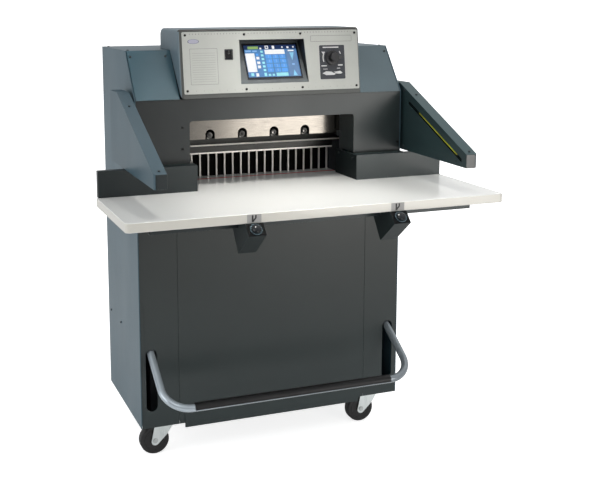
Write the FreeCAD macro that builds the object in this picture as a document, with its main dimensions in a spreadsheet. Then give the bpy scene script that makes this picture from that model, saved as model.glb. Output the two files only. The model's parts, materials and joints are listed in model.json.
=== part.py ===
import FreeCAD, Part
import math
import os
import Sketcher

# A free-standing hydraulic paper cutter on casters, in millimetres, +Z up, front towards -Y.
# Lengths along Y are counted from the front of the cabinet and moved to the common origin
# (middle of the footprint, on the floor) by each piece's placement.

SIZES = {
    # footprint: the button housings reach forward, the rear table cover reaches back
    "nose_proud": 33, "rear_reach": 833,
    # cabinet
    "cab_half": 472, "cab_deep": 468, "skirt_foot": 115, "cover_sheet": 2, "side_sheet": 3,
    "seam": 0.5, "base_low": 125, "base_thick": 6, "front_half": 341, "head_foot": 1003,
    "face_high": 204, "slope_rise": 152, "slope_run": 118, "kick_half": 322, "kick_low": 100,
    "kick_high": 160, "kick_thick": 3,
    # treadle slots in the corner panels
    "slot_side": 434, "slot_low": 173, "slot_high": 386, "slot_wide": 38,
    # table
    "table_top": 914, "table_thick": 28, "table_half": 609, "table_reach": 434, "table_back": 38,
    "table_corner": 15, "tongue_half": 290, "tongue_end": 150, "rail_size": 25, "rail_wall": 2,
    "rail_inset": 84, "rail_setback": 62, "bracket_side": 432, "bracket_half": 12,
    # machine bed and rear table
    "bed_half": 296, "bed_thick": 24, "bed_end": 830, "stick_wide": 14, "stick_deep": 10,
    "stick_gap": 8, "gauge_slot_wide": 26, "gauge_slot_start": 205, "gauge_slot_end": 800,
    # throat
    "throat_half": 292, "throat_top": 1135, "throat_corner": 10, "stop_wide": 14,
    "stop_high": 18, "stop_level": 1046,
    # side fences
    "fence_high": 85, "fence_inner": 281.5, "fence_wall": 10, "fence_front": 47, "fence_wing": 21,
    "fence_inset": 4.5, "fence_inside": 122,
    # press frame
    "frame_outer": 415, "frame_web": 25, "frame_front": 96, "frame_wall": 28, "frame_slot": 82,
    "frame_top": 1300, "crown_front_low": 1190, "crown_rear_low": 1150, "crown_thick": 15,
    # knife
    "knife_low": 1056, "knife_high": 1170, "knife_half": 360, "knife_shift": 10,
    "knife_clear": 2, "carrier_thick": 28, "blade_half": 325, "blade_thick": 11,
    "blade_edge": 1026.6, "blade_high": 1120, "bevel_high": 24.7, "knife_drop": 112,
    "shear_run": 20, "arch_wide": 33, "arch_top": 1088.5, "arch_deep": 14, "arch_near": 58,
    "arch_far": 174, "arch_shift": 9, "bolt_wide": 22, "bolt_level": 1068, "knife_rod_wide": 22,
    "knife_rod_side": 350, "knife_cylinder_wide": 60, "barrel_foot_high": 95,
    "knife_rod_long": 680, "barrel_low": 850, "barrel_high": 500, "barrel_floor": 30,
    "barrel_foot_half": 25,
    # clamp
    "clamp_front": 168, "clamp_thick": 32, "clamp_low": 999.3, "clamp_step": 1100,
    "clamp_high": 1150, "clamp_half": 288, "clamp_wing": 384, "pull_side": 350, "pull_wide": 22,
    "yoke_low": 560, "yoke_high": 600, "ram_wide": 36, "clamp_cylinder_wide": 80,
    "clamp_cylinder_high": 460, "running_fit": 0.1,
    # back gauge
    "gauge_face": 205, "gauge_half": 285, "finger_deep": 12, "finger_wide": 7,
    "finger_pitch": 30, "finger_count": 20, "gauge_bar": 23, "gauge_high": 130,
    "gauge_lift": 0.5, "screw_level": 850, "screw_wide": 20, "journal_wide": 12,
    "motor_start": 758, "motor_half": 35, "motor_long": 62,
    # rear table cover
    "rear_cover_high": 1075, "rear_cover_low": 890, "rear_cover_start": 464,
    "rear_window_half": 300, "rear_window_low": 886, "rear_window_high": 1079,
    # console
    "console_left": 322, "console_right": 315, "console_lip": 1, "console_nose": 11,
    "console_proud": 69, "console_lean": 29.5, "console_back": 240, "console_wall": 6,
    "console_edge": 10, "console_round": 24, "panel_left": 311, "panel_right": 307,
    "panel_low": 14.5, "panel_high": 213.5, "panel_thick": 2, "panel_corner": 5,
    "window_half": 290, "window_low": 24, "window_high": 200, "display_left": 117.5,
    "display_right": 110, "display_foot": 121, "display_low": 42, "display_high": 185.5,
    "display_shallow": 1, "display_deep": 56, "tray_wall": 3, "screen_low": 56,
    "screen_high": 177, "screen_half": 98, "screen_shift": 7, "screen_thick": 2,
    "knob_side": 210, "knob_level": 120, "knob_skirt": 25, "knob_grip": 15, "knob_high": 28,
    "rocker_side": 155.5, "rocker_level": 139.2, "rocker_wide": 22, "rocker_long": 27.6,
    # light-curtain arms
    "arm_inner": 482, "arm_outer": 521, "arm_reach": 412, "arm_low": 998, "arm_tip": 1041,
    "arm_high": 1234, "arm_brow": 29, "arm_back": 130, "lens_slot": 11, "lens_deep": 6,
    "lens_high": 4.5, "arm_corner": 9, "groove_start": 36, "groove_end": 383,
    "groove_drop": 29, "lens_start": 106, "lens_end": 349, "spacer_wide": 28,
    "spacer_back": 70,
    # button housings and buttons
    "housing_near": 205, "housing_wide": 56, "housing_wall": 3, "nose_drop": 31,
    "housing_toe": 784, "housing_toe_back": 92, "housing_long": 165, "button_wide": 29,
    "button_stem": 16, "button_travel": 4, "button_ring": 37,
    # treadle
    "treadle_wide": 25, "treadle_bore": 20, "treadle_corner": 85, "treadle_reach": 190,
    "treadle_level": 247, "pivot_back": 220, "pivot_level": 503, "pivot_pin": 16,
    "pivot_hub": 34, "grip_wide": 33, "grip_half": 345, "grip_arc": 250,
    # casters
    "caster_side": 385, "caster_front": 62, "caster_rear": 406, "wheel_wide": 100,
    "wheel_tread": 32, "wheel_edge": 6, "axle_wide": 10, "caster_trail": 30,
    "kingpin_wide": 12, "kingpin_long": 16, "kingpin_nut": 4.5, "caster_plate": 5,
    "plate_half": 50, "plate_deep": 42, "fork_gap": 0.4, "fork_plate": 3, "fork_inner": 18.5,
    "fork_nose": 30, "fork_tail": 34, "fork_round": 13.5, "fork_drop": 3.5,
    # hydraulics and electrics
    "tank_left": 60, "tank_right": 330, "tank_front": 290, "tank_rear": 440, "tank_high": 330,
    "pump_wide": 130, "pump_high": 480, "box_left": 120, "box_right": 440, "box_front": 330,
    "box_low": 300, "box_high": 700, "inlet_side": 380, "inlet_level": 250, "inlet_wide": 30,
    "inlet_bore": 13, "inlet_long": 24, "inlet_deep": 20,
    "screw_head": 8, "screw_proud": 2.5, "slope_screw": 168,
}

doc = FreeCAD.newDocument("PaperCutter")
sheet = doc.addObject("Spreadsheet::Sheet", "Sizes")
for row, (alias, number) in enumerate(SIZES.items(), 1):
    sheet.set(f"A{row}", alias)
    sheet.set(f"B{row}", str(number))
    sheet.setAlias(f"B{row}", alias)
doc.recompute()


class Size:
    """A length that keeps both its sheet expression and its present value."""

    def __init__(self, text, value):
        self.text = text
        self.value = value

    def __add__(self, other):
        other = size_of(other)
        return Size(f"({self.text} + {other.text})", self.value + other.value)

    def __radd__(self, other):
        return size_of(other) + self

    def __sub__(self, other):
        other = size_of(other)
        return Size(f"({self.text} - {other.text})", self.value - other.value)

    def __rsub__(self, other):
        return size_of(other) - self

    def __mul__(self, other):
        other = size_of(other)
        return Size(f"({self.text} * {other.text})", self.value * other.value)

    def __rmul__(self, other):
        return size_of(other) * self

    def __truediv__(self, other):
        other = size_of(other)
        return Size(f"({self.text} / {other.text})", self.value / other.value)

    def __neg__(self):
        return Size(f"(0 - {self.text})", -self.value)


def size_of(item):
    return item if isinstance(item, Size) else Size(repr(float(item)), float(item))


def root_of(item):
    return Size(f"sqrt({item.text})", math.sqrt(item.value))


def angle_of(rise, run):
    slope = size_of(rise) / run
    return Size(f"(atan({slope.text}) / 1 deg)", math.degrees(math.atan(slope.value)))


class Sheet:
    """Sizes read by name from the sheet."""

    def __getattr__(self, alias):
        return Size(f"Sizes.{alias}", float(sheet.get(alias)))


s = Sheet()
nose_reach = s.table_reach + s.nose_proud
front = (nose_reach - s.rear_reach) / 2
base_of = {}
nodes = []


def bind(obj, path, size):
    obj.setExpression(path, size_of(size).text)


def place(obj, base, axis=None, angle=0.0):
    """Put an object at a base point, turned about one axis, all bound to the sheet."""
    base = tuple(size_of(item) for item in base)
    angle = size_of(angle)
    turn = FreeCAD.Rotation(axis or FreeCAD.Vector(0, 0, 1), angle.value)
    obj.Placement = FreeCAD.Placement(FreeCAD.Vector(*(item.value for item in base)), turn)
    for letter, item in zip("xyz", base):
        bind(obj, f"Placement.Base.{letter}", item)
    if axis is not None:
        bind(obj, "Placement.Rotation.Angle", angle)
    base_of[obj.Name] = base


def box(name, x, y, z):
    piece = doc.addObject("Part::Box", name)
    for prop, span in (("Length", x), ("Width", y), ("Height", z)):
        bind(piece, prop, size_of(span[1]) - span[0])
    place(piece, (x[0], y[0], z[0]))
    return piece


def rod(name, axis, centre, radius, low, high):
    """A cylinder along X, Y or Z between two levels; centre holds the other two coordinates."""
    piece = doc.addObject("Part::Cylinder", name)
    bind(piece, "Radius", radius)
    bind(piece, "Height", size_of(high) - low)
    if axis == "x":
        place(piece, (low, centre[0], centre[1]), FreeCAD.Vector(0, 1, 0), 90)
    elif axis == "y":
        place(piece, (centre[0], low, centre[1]), FreeCAD.Vector(1, 0, 0), -90)
    else:
        place(piece, (centre[0], centre[1], low))
    return piece


def cut(name, base, *tools):
    tool = tools[0] if len(tools) == 1 else fuse(name + "_tools", *tools)
    piece = doc.addObject("Part::Cut", name)
    piece.Base = base
    piece.Tool = tool
    return piece


def common(name, base, tool):
    piece = doc.addObject("Part::Common", name)
    piece.Base = base
    piece.Tool = tool
    return piece


def fuse(name, *parts):
    piece = doc.addObject("Part::MultiFuse", name)
    piece.Shapes = list(parts)
    return piece


def group(name, *parts):
    piece = doc.addObject("Part::Compound", name)
    piece.Links = list(parts)
    return piece


ROLES = {"xy": "XY_Plane", "xz": "XZ_Plane", "yz": "YZ_Plane"}


def pin(sketch, line, end, x, y):
    """Hold one end of a sketch line at a bound place."""
    for kind, item in (("DistanceX", x), ("DistanceY", y)):
        item = size_of(item)
        spot = sketch.addConstraint(Sketcher.Constraint(kind, -1, 1, line, end, item.value))
        sketch.setExpression(f"Constraints[{spot}]", item.text)


def draw(sketch, points):
    """A closed outline of straight lines."""
    points = [(size_of(x), size_of(y)) for x, y in points]
    spots = [FreeCAD.Vector(x.value, y.value, 0) for x, y in points]
    first = sketch.GeometryCount
    for start, end in zip(spots, spots[1:] + spots[:1]):
        sketch.addGeometry(Part.LineSegment(start, end), False)
    for number, (x, y) in enumerate(points):
        line = first + number
        before = first + (number - 1) % len(points)
        sketch.addConstraint(Sketcher.Constraint("Coincident", before, 2, line, 1))
        pin(sketch, line, 1, x, y)


def profile(name, plane, points, low, high, *rounds):
    """An outline on a base plane, padded between two levels; each round is (radius, test)."""
    low = size_of(low)
    high = size_of(high)
    body = doc.addObject("PartDesign::Body", name)
    sketch = body.newObject("Sketcher::SketchObject", name + "_outline")
    features = body.Origin.OriginFeatures
    role = ROLES[plane]
    sketch.AttachmentSupport = [(next(item for item in features if item.Role == role), "")]
    sketch.MapMode = "FlatFace"
    draw(sketch, points)
    start = -high if plane == "xz" else low
    bind(sketch, "AttachmentOffset.Base.z", start)
    pad = body.newObject("PartDesign::Pad", name + "_pad")
    pad.Profile = sketch
    bind(pad, "Length", high - low)
    latest = pad
    for number, (radius, rounded) in enumerate(rounds):
        doc.recompute()
        picks = [f"Edge{n}" for n, edge in enumerate(latest.Shape.Edges, 1) if rounded(edge)]
        fillet = body.newObject("PartDesign::Fillet", f"{name}_round_{number}")
        fillet.Base = (latest, picks)
        bind(fillet, "Radius", radius)
        body.Tip = fillet
        latest = fillet
    return body


def edge_at(**spot):
    """Tell whether a straight edge lies at the given coordinates."""
    wanted = {key: size_of(item).value for key, item in spot.items()}

    def test(edge):
        bound = edge.BoundBox
        centre = {"x": bound.Center.x, "y": bound.Center.y, "z": bound.Center.z}
        spans = {"x": bound.XLength, "y": bound.YLength, "z": bound.ZLength}
        return all(abs(centre[k] - v) < 0.01 and spans[k] < 0.01 for k, v in wanted.items())

    return test


def any_of(*tests):
    return lambda edge: any(test(edge) for test in tests)


def across(side, inner, outer):
    """A span on the left (-1) or right (1) of the middle plane, lowest first."""
    return (inner, outer) if side > 0 else (-outer, -inner)


def finish(obj, node, shift=(0, 0, 0)):
    """Move a finished piece to the common origin and name it."""
    if obj.Name in base_of:
        base = base_of[obj.Name]
    else:
        base = (size_of(0), size_of(0), size_of(0))
    moved = [start + step for start, step in zip(base, shift)]
    moved[1] = moved[1] + front
    for letter, item in zip("xyz", moved):
        bind(obj, f"Placement.Base.{letter}", item)
    obj.Label = node
    nodes.append(obj)
    return obj


# Cabinet: base, corner posts of the press, covers.
sheet_in = s.cab_half - s.side_sheet - s.seam
base_top = s.base_low + s.base_thick
back_in = s.cab_deep - s.cover_sheet
table_low = s.table_top - s.table_thick
slope_foot = s.head_foot + s.face_high
head_top = slope_foot + s.slope_rise
console_foot = slope_foot + s.console_lip
console_top = head_top + s.console_proud
rail_half = s.table_half - s.rail_inset
fence_reach = s.table_half - s.fence_inset
slot_rear = s.frame_front + s.frame_wall
slot_far = slot_rear + s.frame_slot
frame_back = slot_far + s.frame_wall
web_in = s.frame_outer - s.frame_web

finish(box("base", (-sheet_in, sheet_in), (s.cover_sheet + s.seam, back_in - s.seam),
           (s.base_low, base_top)), "base_plate")

plates = []
for number, (side, depth) in enumerate(
        [(-1, s.caster_front), (1, s.caster_front), (-1, s.caster_rear), (1, s.caster_rear)]):
    middle = side * s.caster_side
    plate_low = s.base_low - s.caster_plate
    pin_low = plate_low - s.kingpin_long
    plate = box(f"plate_{number}", (middle - s.plate_half, middle + s.plate_half),
                (depth - s.plate_deep, depth + s.plate_deep), (plate_low, s.base_low))
    kingpin = rod(f"kingpin_{number}", "z", (middle, depth), s.kingpin_wide / 2,
                  pin_low, plate_low)
    nut = rod(f"kingpin_nut_{number}", "z", (middle, depth), s.kingpin_wide * 0.75,
              pin_low - s.kingpin_nut, pin_low)
    plates.append(fuse(f"caster_plate_{number}", plate, kingpin, nut))
finish(group("caster_tops", *plates), "caster_plates")

for side, word in ((-1, "left"), (1, "right")):
    outline = [(s.frame_outer, s.frame_front), (s.frame_outer, frame_back),
               (s.bed_half, frame_back), (s.bed_half, slot_far), (web_in, slot_far),
               (web_in, slot_rear), (s.bed_half, slot_rear), (s.bed_half, s.frame_front)]
    outline = [(side * x, y) for x, y in outline]
    post = profile(f"post_{word}", "xy", outline, base_top, s.frame_top)
    low, high = across(side, s.frame_outer - 1, s.slot_side + 16)
    axle = rod(f"treadle_pin_{word}", "x", (s.pivot_back, s.pivot_level), s.pivot_pin / 2,
               low, high)
    parts = [post, axle]
    if side > 0:
        parts.append(box("throat_stop", (s.bed_half + 3 - s.stop_wide, s.bed_half + 3),
                         (slot_rear - 12, slot_rear),
                         (s.stop_level, s.stop_level + s.stop_high)))
    finish(fuse(f"press_post_{word}", *parts), f"upright_{word}")

crown = [(s.frame_front, s.crown_front_low), (slot_rear, s.crown_front_low),
         (slot_rear, s.frame_top - s.crown_thick), (slot_far, s.frame_top - s.crown_thick),
         (slot_far, s.crown_rear_low), (frame_back, s.crown_rear_low),
         (frame_back, s.frame_top), (s.frame_front, s.frame_top)]
finish(profile("crown", "yz", crown, -s.bed_half, s.bed_half), "crown_beam")

# Bed with its groove for the cutting stick, the slot of the back gauge and a screw bearing.
bed_low = s.table_top - s.bed_thick
stick_low = s.table_top - s.stick_deep
stick_near = s.tongue_end + s.stick_gap
stick_far = stick_near + s.stick_wide
bed = profile("bed_plate", "yz",
              [(s.tongue_end, bed_low), (s.bed_end, bed_low), (s.bed_end, s.table_top),
               (stick_far, s.table_top), (stick_far, stick_low), (stick_near, stick_low),
               (stick_near, s.table_top), (s.tongue_end, s.table_top)],
              -s.bed_half, s.bed_half)
bearing = box("screw_bearing", (-20, 20), (s.gauge_slot_start - 25, s.gauge_slot_start - 9),
              (s.screw_level - 18, bed_low + 1))
slot = box("gauge_slot", (-s.gauge_slot_wide / 2, s.gauge_slot_wide / 2),
           (s.gauge_slot_start, s.gauge_slot_end), (bed_low - 1, s.table_top + 1))
journal_bore = rod("bearing_bore", "y", (0, s.screw_level),
                   (s.journal_wide + s.running_fit) / 2,
                   s.gauge_slot_start - 26, s.gauge_slot_start - 8)
finish(cut("bed", fuse("bed_block", bed, bearing), slot, journal_bore), "machine_bed")
finish(box("stick", (-s.bed_half, s.bed_half), (stick_near, stick_far),
           (stick_low, s.table_top)), "cutting_stick")

table_outline = [(-s.table_half, -s.table_reach), (s.table_half, -s.table_reach),
                 (s.table_half, -s.table_back), (s.tongue_half, -s.table_back),
                 (s.tongue_half, s.tongue_end), (-s.tongue_half, s.tongue_end),
                 (-s.tongue_half, -s.table_back), (-s.table_half, -s.table_back)]
corners = any_of(edge_at(x=-s.table_half, y=-s.table_reach),
                 edge_at(x=s.table_half, y=-s.table_reach))
finish(profile("table_board", "xy", table_outline, table_low, s.table_top,
               (s.table_corner, corners)), "front_table")

rail_front = -s.table_reach + s.rail_setback
rail_back = rail_front + s.rail_size
rail_low = table_low - s.rail_size
rail = box("rail", (-rail_half, rail_half), (rail_front, rail_back), (rail_low, table_low))
rail_room = box("rail_room", (-rail_half - 1, rail_half + 1),
                (rail_front + s.rail_wall, rail_back - s.rail_wall),
                (rail_low + s.rail_wall, table_low - s.rail_wall))
brackets = []
for side, word in ((-1, "left"), (1, "right")):
    middle = side * s.bracket_side
    brackets.append(box(f"table_bracket_{word}",
                        (middle - s.bracket_half, middle + s.bracket_half), (rail_back, 0),
                        (rail_low, table_low)))
finish(fuse("rails", cut("rail_tube", rail, rail_room), *brackets), "table_rails")

side_outline = [(0, s.skirt_foot), (s.cab_deep, s.skirt_foot), (s.cab_deep, head_top),
                (s.slope_run, head_top), (0, slope_foot)]
for side, word in ((-1, "left"), (1, "right")):
    low, high = across(side, s.cab_half - s.side_sheet, s.cab_half)
    finish(profile(f"side_{word}", "yz", side_outline, low, high), f"side_panel_{word}")

finish(box("front_cover", (-s.front_half + s.seam, s.front_half - s.seam), (0, s.cover_sheet),
           (s.skirt_foot, table_low - s.seam)), "front_panel")

head_low = s.head_foot - s.seam
for side, word in ((-1, "left"), (1, "right")):
    outline = [(s.front_half, s.skirt_foot), (sheet_in, s.skirt_foot), (sheet_in, head_low),
               (s.throat_half + s.seam, head_low), (s.throat_half + s.seam, table_low + s.seam),
               (s.front_half, table_low + s.seam)]
    cover = profile(f"corner_{word}", "xz", [(side * x, z) for x, z in outline],
                    0, s.cover_sheet)
    half = s.slot_wide / 2
    middle = side * s.slot_side
    straight = box(f"slot_run_{word}", (middle - half, middle + half), (-1, s.cover_sheet + 1),
                   (s.slot_low + half, s.slot_high - half))
    ends = [rod(f"slot_end_{word}_{n}", "y", (middle, level), half, -1, s.cover_sheet + 1)
            for n, level in enumerate((s.slot_low + half, s.slot_high - half))]
    finish(cut(f"corner_cover_{word}", cover, straight, *ends), f"corner_panel_{word}")

finish(box("kick", (-s.kick_half, s.kick_half), (-s.kick_thick, 0), (s.kick_low, s.kick_high)),
       "kick_plate")

# Rear cover with the window of the rear table and two columns of vents.
rear = box("rear_cover", (-sheet_in, sheet_in), (back_in, s.cab_deep),
           (s.skirt_foot, head_top - s.cover_sheet - s.seam))
openings = [box("rear_window", (-s.rear_window_half, s.rear_window_half),
                (back_in - 1, s.cab_deep + 1), (s.rear_window_low, s.rear_window_high)),
            box("screw_window", (-30, 30), (back_in - 1, s.cab_deep + 1),
                (s.screw_level - 28, s.rear_window_low + 1))]
for column in (-1, 1):
    for line in range(8):
        level = s.box_high + 20 + line * 16
        openings.append(box(f"vent_{column + 1}_{line}", (column * 210 - 70, column * 210 + 70),
                            (back_in - 1, s.cab_deep + 1), (level, level + 6)))
finish(cut("rear_skin", rear, *openings), "rear_panel")

# Head: face plate with the throat and its inward returns, sloped covers, top cover.
face_top = slope_foot - s.seam
face = profile("face_skin", "xz",
               [(-sheet_in, s.head_foot), (-s.throat_half, s.head_foot),
                (-s.throat_half, s.throat_top), (s.throat_half, s.throat_top),
                (s.throat_half, s.head_foot), (sheet_in, s.head_foot), (sheet_in, face_top),
                (-sheet_in, face_top)], 0, s.cover_sheet,
               (s.throat_corner, any_of(edge_at(x=-s.throat_half, z=s.throat_top),
                                        edge_at(x=s.throat_half, z=s.throat_top))))
return_end = s.frame_front - s.seam
cheeks = []
for side, word in ((-1, "left"), (1, "right")):
    cheeks.append(box(f"throat_cheek_{word}",
                      across(side, s.throat_half, s.throat_half + s.cover_sheet),
                      (0, return_end), (s.head_foot, s.throat_top + s.cover_sheet)))
ceiling = box("throat_ceiling", (-s.throat_half, s.throat_half), (0, return_end),
              (s.throat_top, s.throat_top + s.cover_sheet))
finish(fuse("face_panel", face, ceiling, *cheeks), "face_plate")

slope_length = root_of(s.slope_run * s.slope_run + s.slope_rise * s.slope_rise)
slope_drop = s.cover_sheet * slope_length / s.slope_run
slope_start = s.cover_sheet + s.seam
slope_outline = [(0, slope_foot), (s.slope_run, head_top),
                 (s.slope_run, head_top - slope_drop),
                 (slope_start, slope_foot - slope_drop + slope_start * s.slope_rise / s.slope_run)]
slopes = []
for side, word, reach in ((-1, "left", s.console_left), (1, "right", s.console_right)):
    low, high = across(side, reach + s.seam, sheet_in)
    slopes.append(profile(f"slope_{word}", "yz", slope_outline, low, high))
finish(group("slopes", *slopes), "slope_covers")

notch_left = s.console_left + s.seam
notch_right = s.console_right + s.seam
top_front = s.slope_run + s.seam
notch_back = s.console_back + s.seam
finish(profile("top_skin", "xy",
               [(-sheet_in, top_front), (-notch_left, top_front), (-notch_left, notch_back),
                (notch_right, notch_back), (notch_right, top_front), (sheet_in, top_front),
                (sheet_in, back_in - s.seam), (-sheet_in, back_in - s.seam)],
               head_top - s.cover_sheet, head_top), "top_cover")

# Console: a leaning front, open below into the head.
console_rise = console_top - console_foot
front_length = root_of(s.console_lean * s.console_lean + console_rise * console_rise)
lean = angle_of(s.console_lean, console_rise)
panel_turn = 90 - lean
nose_top = s.console_lean - s.console_nose
shell_outline = [(-s.console_nose, console_foot), (nose_top, console_top),
                 (s.console_back, console_top), (s.console_back, head_top),
                 (s.slope_run, head_top)]


def console_rim(edge):
    """Pick the front, top and back edges, not those that lie along the head."""
    at_end = edge.BoundBox.XLength < 0.01
    on_head = any(abs(corner.Point.y - SIZES["slope_run"]) < 0.01 for corner in edge.Vertexes)
    return (at_end and not on_head) or edge_at(y=nose_top, z=console_top)(edge)


shell = profile("console_block", "yz", shell_outline, -s.console_left, s.console_right,
                (s.console_round, edge_at(y=s.console_back, z=console_top)),
                (s.console_edge, console_rim))
front_inset = s.console_wall * front_length / console_rise
fall = console_foot - 60
room = profile("console_room", "yz",
               [(front_inset - s.console_nose - 60 * s.console_lean / console_rise, fall),
                (nose_top + front_inset - s.console_wall * s.console_lean / console_rise,
                 console_top - s.console_wall),
                (s.console_back - s.console_round, console_top - s.console_wall),
                (s.console_back - s.console_wall, console_top - s.console_round),
                (s.console_back - s.console_wall, fall)],
               s.console_wall - s.console_left, s.console_right - s.console_wall)
window = profile("console_window", "yz",
                 [(s.window_low, -s.console_wall - 6), (s.window_high, -s.console_wall - 6),
                  (s.window_high, 6), (s.window_low, 6)], -s.window_half, s.window_half)
place(window, (0, -s.console_nose, console_foot), FreeCAD.Vector(1, 0, 0), panel_turn)
finish(cut("console_housing", shell, room, window), "console_shell")


def on_panel(obj, node):
    """Lay a piece drawn flat (across, up, outwards) on the console's leaning front."""
    place(obj, (0, -s.console_nose, console_foot), FreeCAD.Vector(1, 0, 0), panel_turn)
    return finish(obj, node)


panel_corners = any_of(*[edge_at(x=end, y=level) for end in (-s.panel_left, s.panel_right)
                         for level in (s.panel_low, s.panel_high)])
panel = profile("panel_plate", "xy",
                [(-s.panel_left, s.panel_low), (s.panel_right, s.panel_low),
                 (s.panel_right, s.panel_high), (-s.panel_left, s.panel_high)],
                0, s.panel_thick, (s.panel_corner, panel_corners))


def display_room(name, wall, low, high):
    """The display's opening, wider at its foot on the right, with a wall round it."""
    return profile(name, "xy",
                   [(-s.display_left - wall, s.display_low - wall),
                    (s.display_foot + wall, s.display_low - wall),
                    (s.display_right + wall, s.display_high + wall),
                    (-s.display_left - wall, s.display_high + wall)], low, high)


display_hole = display_room("display_hole", 0, -1, s.panel_thick + 1)
rocker_room = s.rocker_long / 2 + 2
rocker_hole = box("rocker_hole", (-s.rocker_side - s.rocker_wide / 2 - s.seam,
                                  -s.rocker_side + s.rocker_wide / 2 + s.seam),
                  (s.rocker_level - rocker_room, s.rocker_level + rocker_room),
                  (-1, s.panel_thick + 1))
knob_hole = rod("knob_hole", "z", (s.knob_side, s.knob_level), 4 + s.running_fit / 2,
                -1, s.panel_thick + 1)
on_panel(cut("panel_skin", panel, display_hole, rocker_hole, knob_hole), "control_panel")

# The display lies in a tray that is deeper at its upper end.
tray_run = s.display_high - s.display_low
tray_fall = (s.display_deep - s.display_shallow) / tray_run


def tray_floor(level):
    return -s.display_shallow - (level - s.display_low) * tray_fall


tray_low = s.display_low - s.tray_wall
tray_high = s.display_high + s.tray_wall
tray_left = -s.display_left - s.tray_wall
tray_right = s.display_foot + s.tray_wall
tray = profile("tray_block", "yz",
               [(tray_low, 0), (tray_low, tray_floor(tray_low) - s.tray_wall),
                (tray_high, tray_floor(tray_high) - s.tray_wall), (tray_high, 0)],
               tray_left, tray_right)
tray_hollow = profile("tray_hollow", "yz",
                      [(s.display_low, 1), (s.display_low, tray_floor(s.display_low)),
                       (s.display_high, tray_floor(s.display_high)), (s.display_high, 1)],
                      tray_left, tray_right)
tray_end = -s.display_deep - 10
on_panel(cut("tray", common("tray_outside", tray,
                            display_room("tray_outline", s.tray_wall, tray_end, 1)),
             common("tray_inside", tray_hollow,
                    display_room("tray_opening", 0, tray_end, 2))), "display_bezel")
screen = profile("screen", "yz",
                 [(s.screen_low, tray_floor(s.screen_low)),
                  (s.screen_high, tray_floor(s.screen_high)),
                  (s.screen_high, tray_floor(s.screen_high) + s.screen_thick),
                  (s.screen_low, tray_floor(s.screen_low) + s.screen_thick)],
                 s.screen_shift - s.screen_half, s.screen_shift + s.screen_half)
on_panel(screen, "touch_screen")

knob_foot = s.panel_thick + 0.4
grip_foot = knob_foot + 7
spindle = rod("knob_spindle", "z", (s.knob_side, s.knob_level), 4, -12, knob_foot + 1)
skirt = rod("knob_skirt", "z", (s.knob_side, s.knob_level), s.knob_skirt, knob_foot, grip_foot)
grip = rod("knob_grip", "z", (s.knob_side, s.knob_level), s.knob_grip, knob_foot,
           knob_foot + s.knob_high)
pointer = box("knob_pointer", (s.knob_side, s.knob_side + s.knob_skirt + 5),
              (s.knob_level - 3, s.knob_level + 3), (knob_foot, knob_foot + s.knob_high - 6))
on_panel(fuse("knob_body", spindle, skirt, grip, pointer), "knob")

rocker_half = s.rocker_long / 2
rocker_low = s.rocker_level - rocker_half
rocker_high = s.rocker_level + rocker_half
rocker = profile("rocker", "yz",
                 [(rocker_low + 1, -3), (s.rocker_level - 6, -9), (s.rocker_level + 6, -9),
                  (rocker_high - 1, -1), (rocker_high, 5.5), (s.rocker_level, 3.4),
                  (rocker_low, 2.6)],
                 -s.rocker_side - s.rocker_wide / 2, -s.rocker_side + s.rocker_wide / 2)
on_panel(rocker, "rocker_switch")

# Side fences on the table, one on each side of the throat.
fence_top = s.table_top + s.fence_high
for side, word in ((-1, "left"), (1, "right")):
    near = s.fence_inner
    wall = s.fence_inner + s.fence_wall
    wing_back = s.fence_wing - s.fence_front
    outline = [(near, -s.fence_front), (fence_reach, -s.fence_front),
               (fence_reach, wing_back), (s.cab_half, wing_back), (s.cab_half, -s.seam),
               (wall, -s.seam), (wall, s.fence_inside), (near, s.fence_inside)]
    finish(profile(f"fence_{word}", "xy", [(side * x, y) for x, y in outline],
                   s.table_top, fence_top), f"side_fence_{word}")

# Light-curtain arms with a slot on the inner face and a lens strip in it.
arm_outline = [(s.arm_back, s.arm_high), (s.arm_brow, s.arm_high), (-s.arm_reach, s.arm_tip),
               (-s.arm_reach, s.arm_low), (s.arm_back, s.arm_low + 5)]
arm_slope = (s.arm_high - s.arm_tip) / (s.arm_brow + s.arm_reach)


def along_arm(depth, drop):
    """A level that follows the arm's sloping upper edge."""
    return s.arm_tip + (depth + s.arm_reach) * arm_slope - drop


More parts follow.
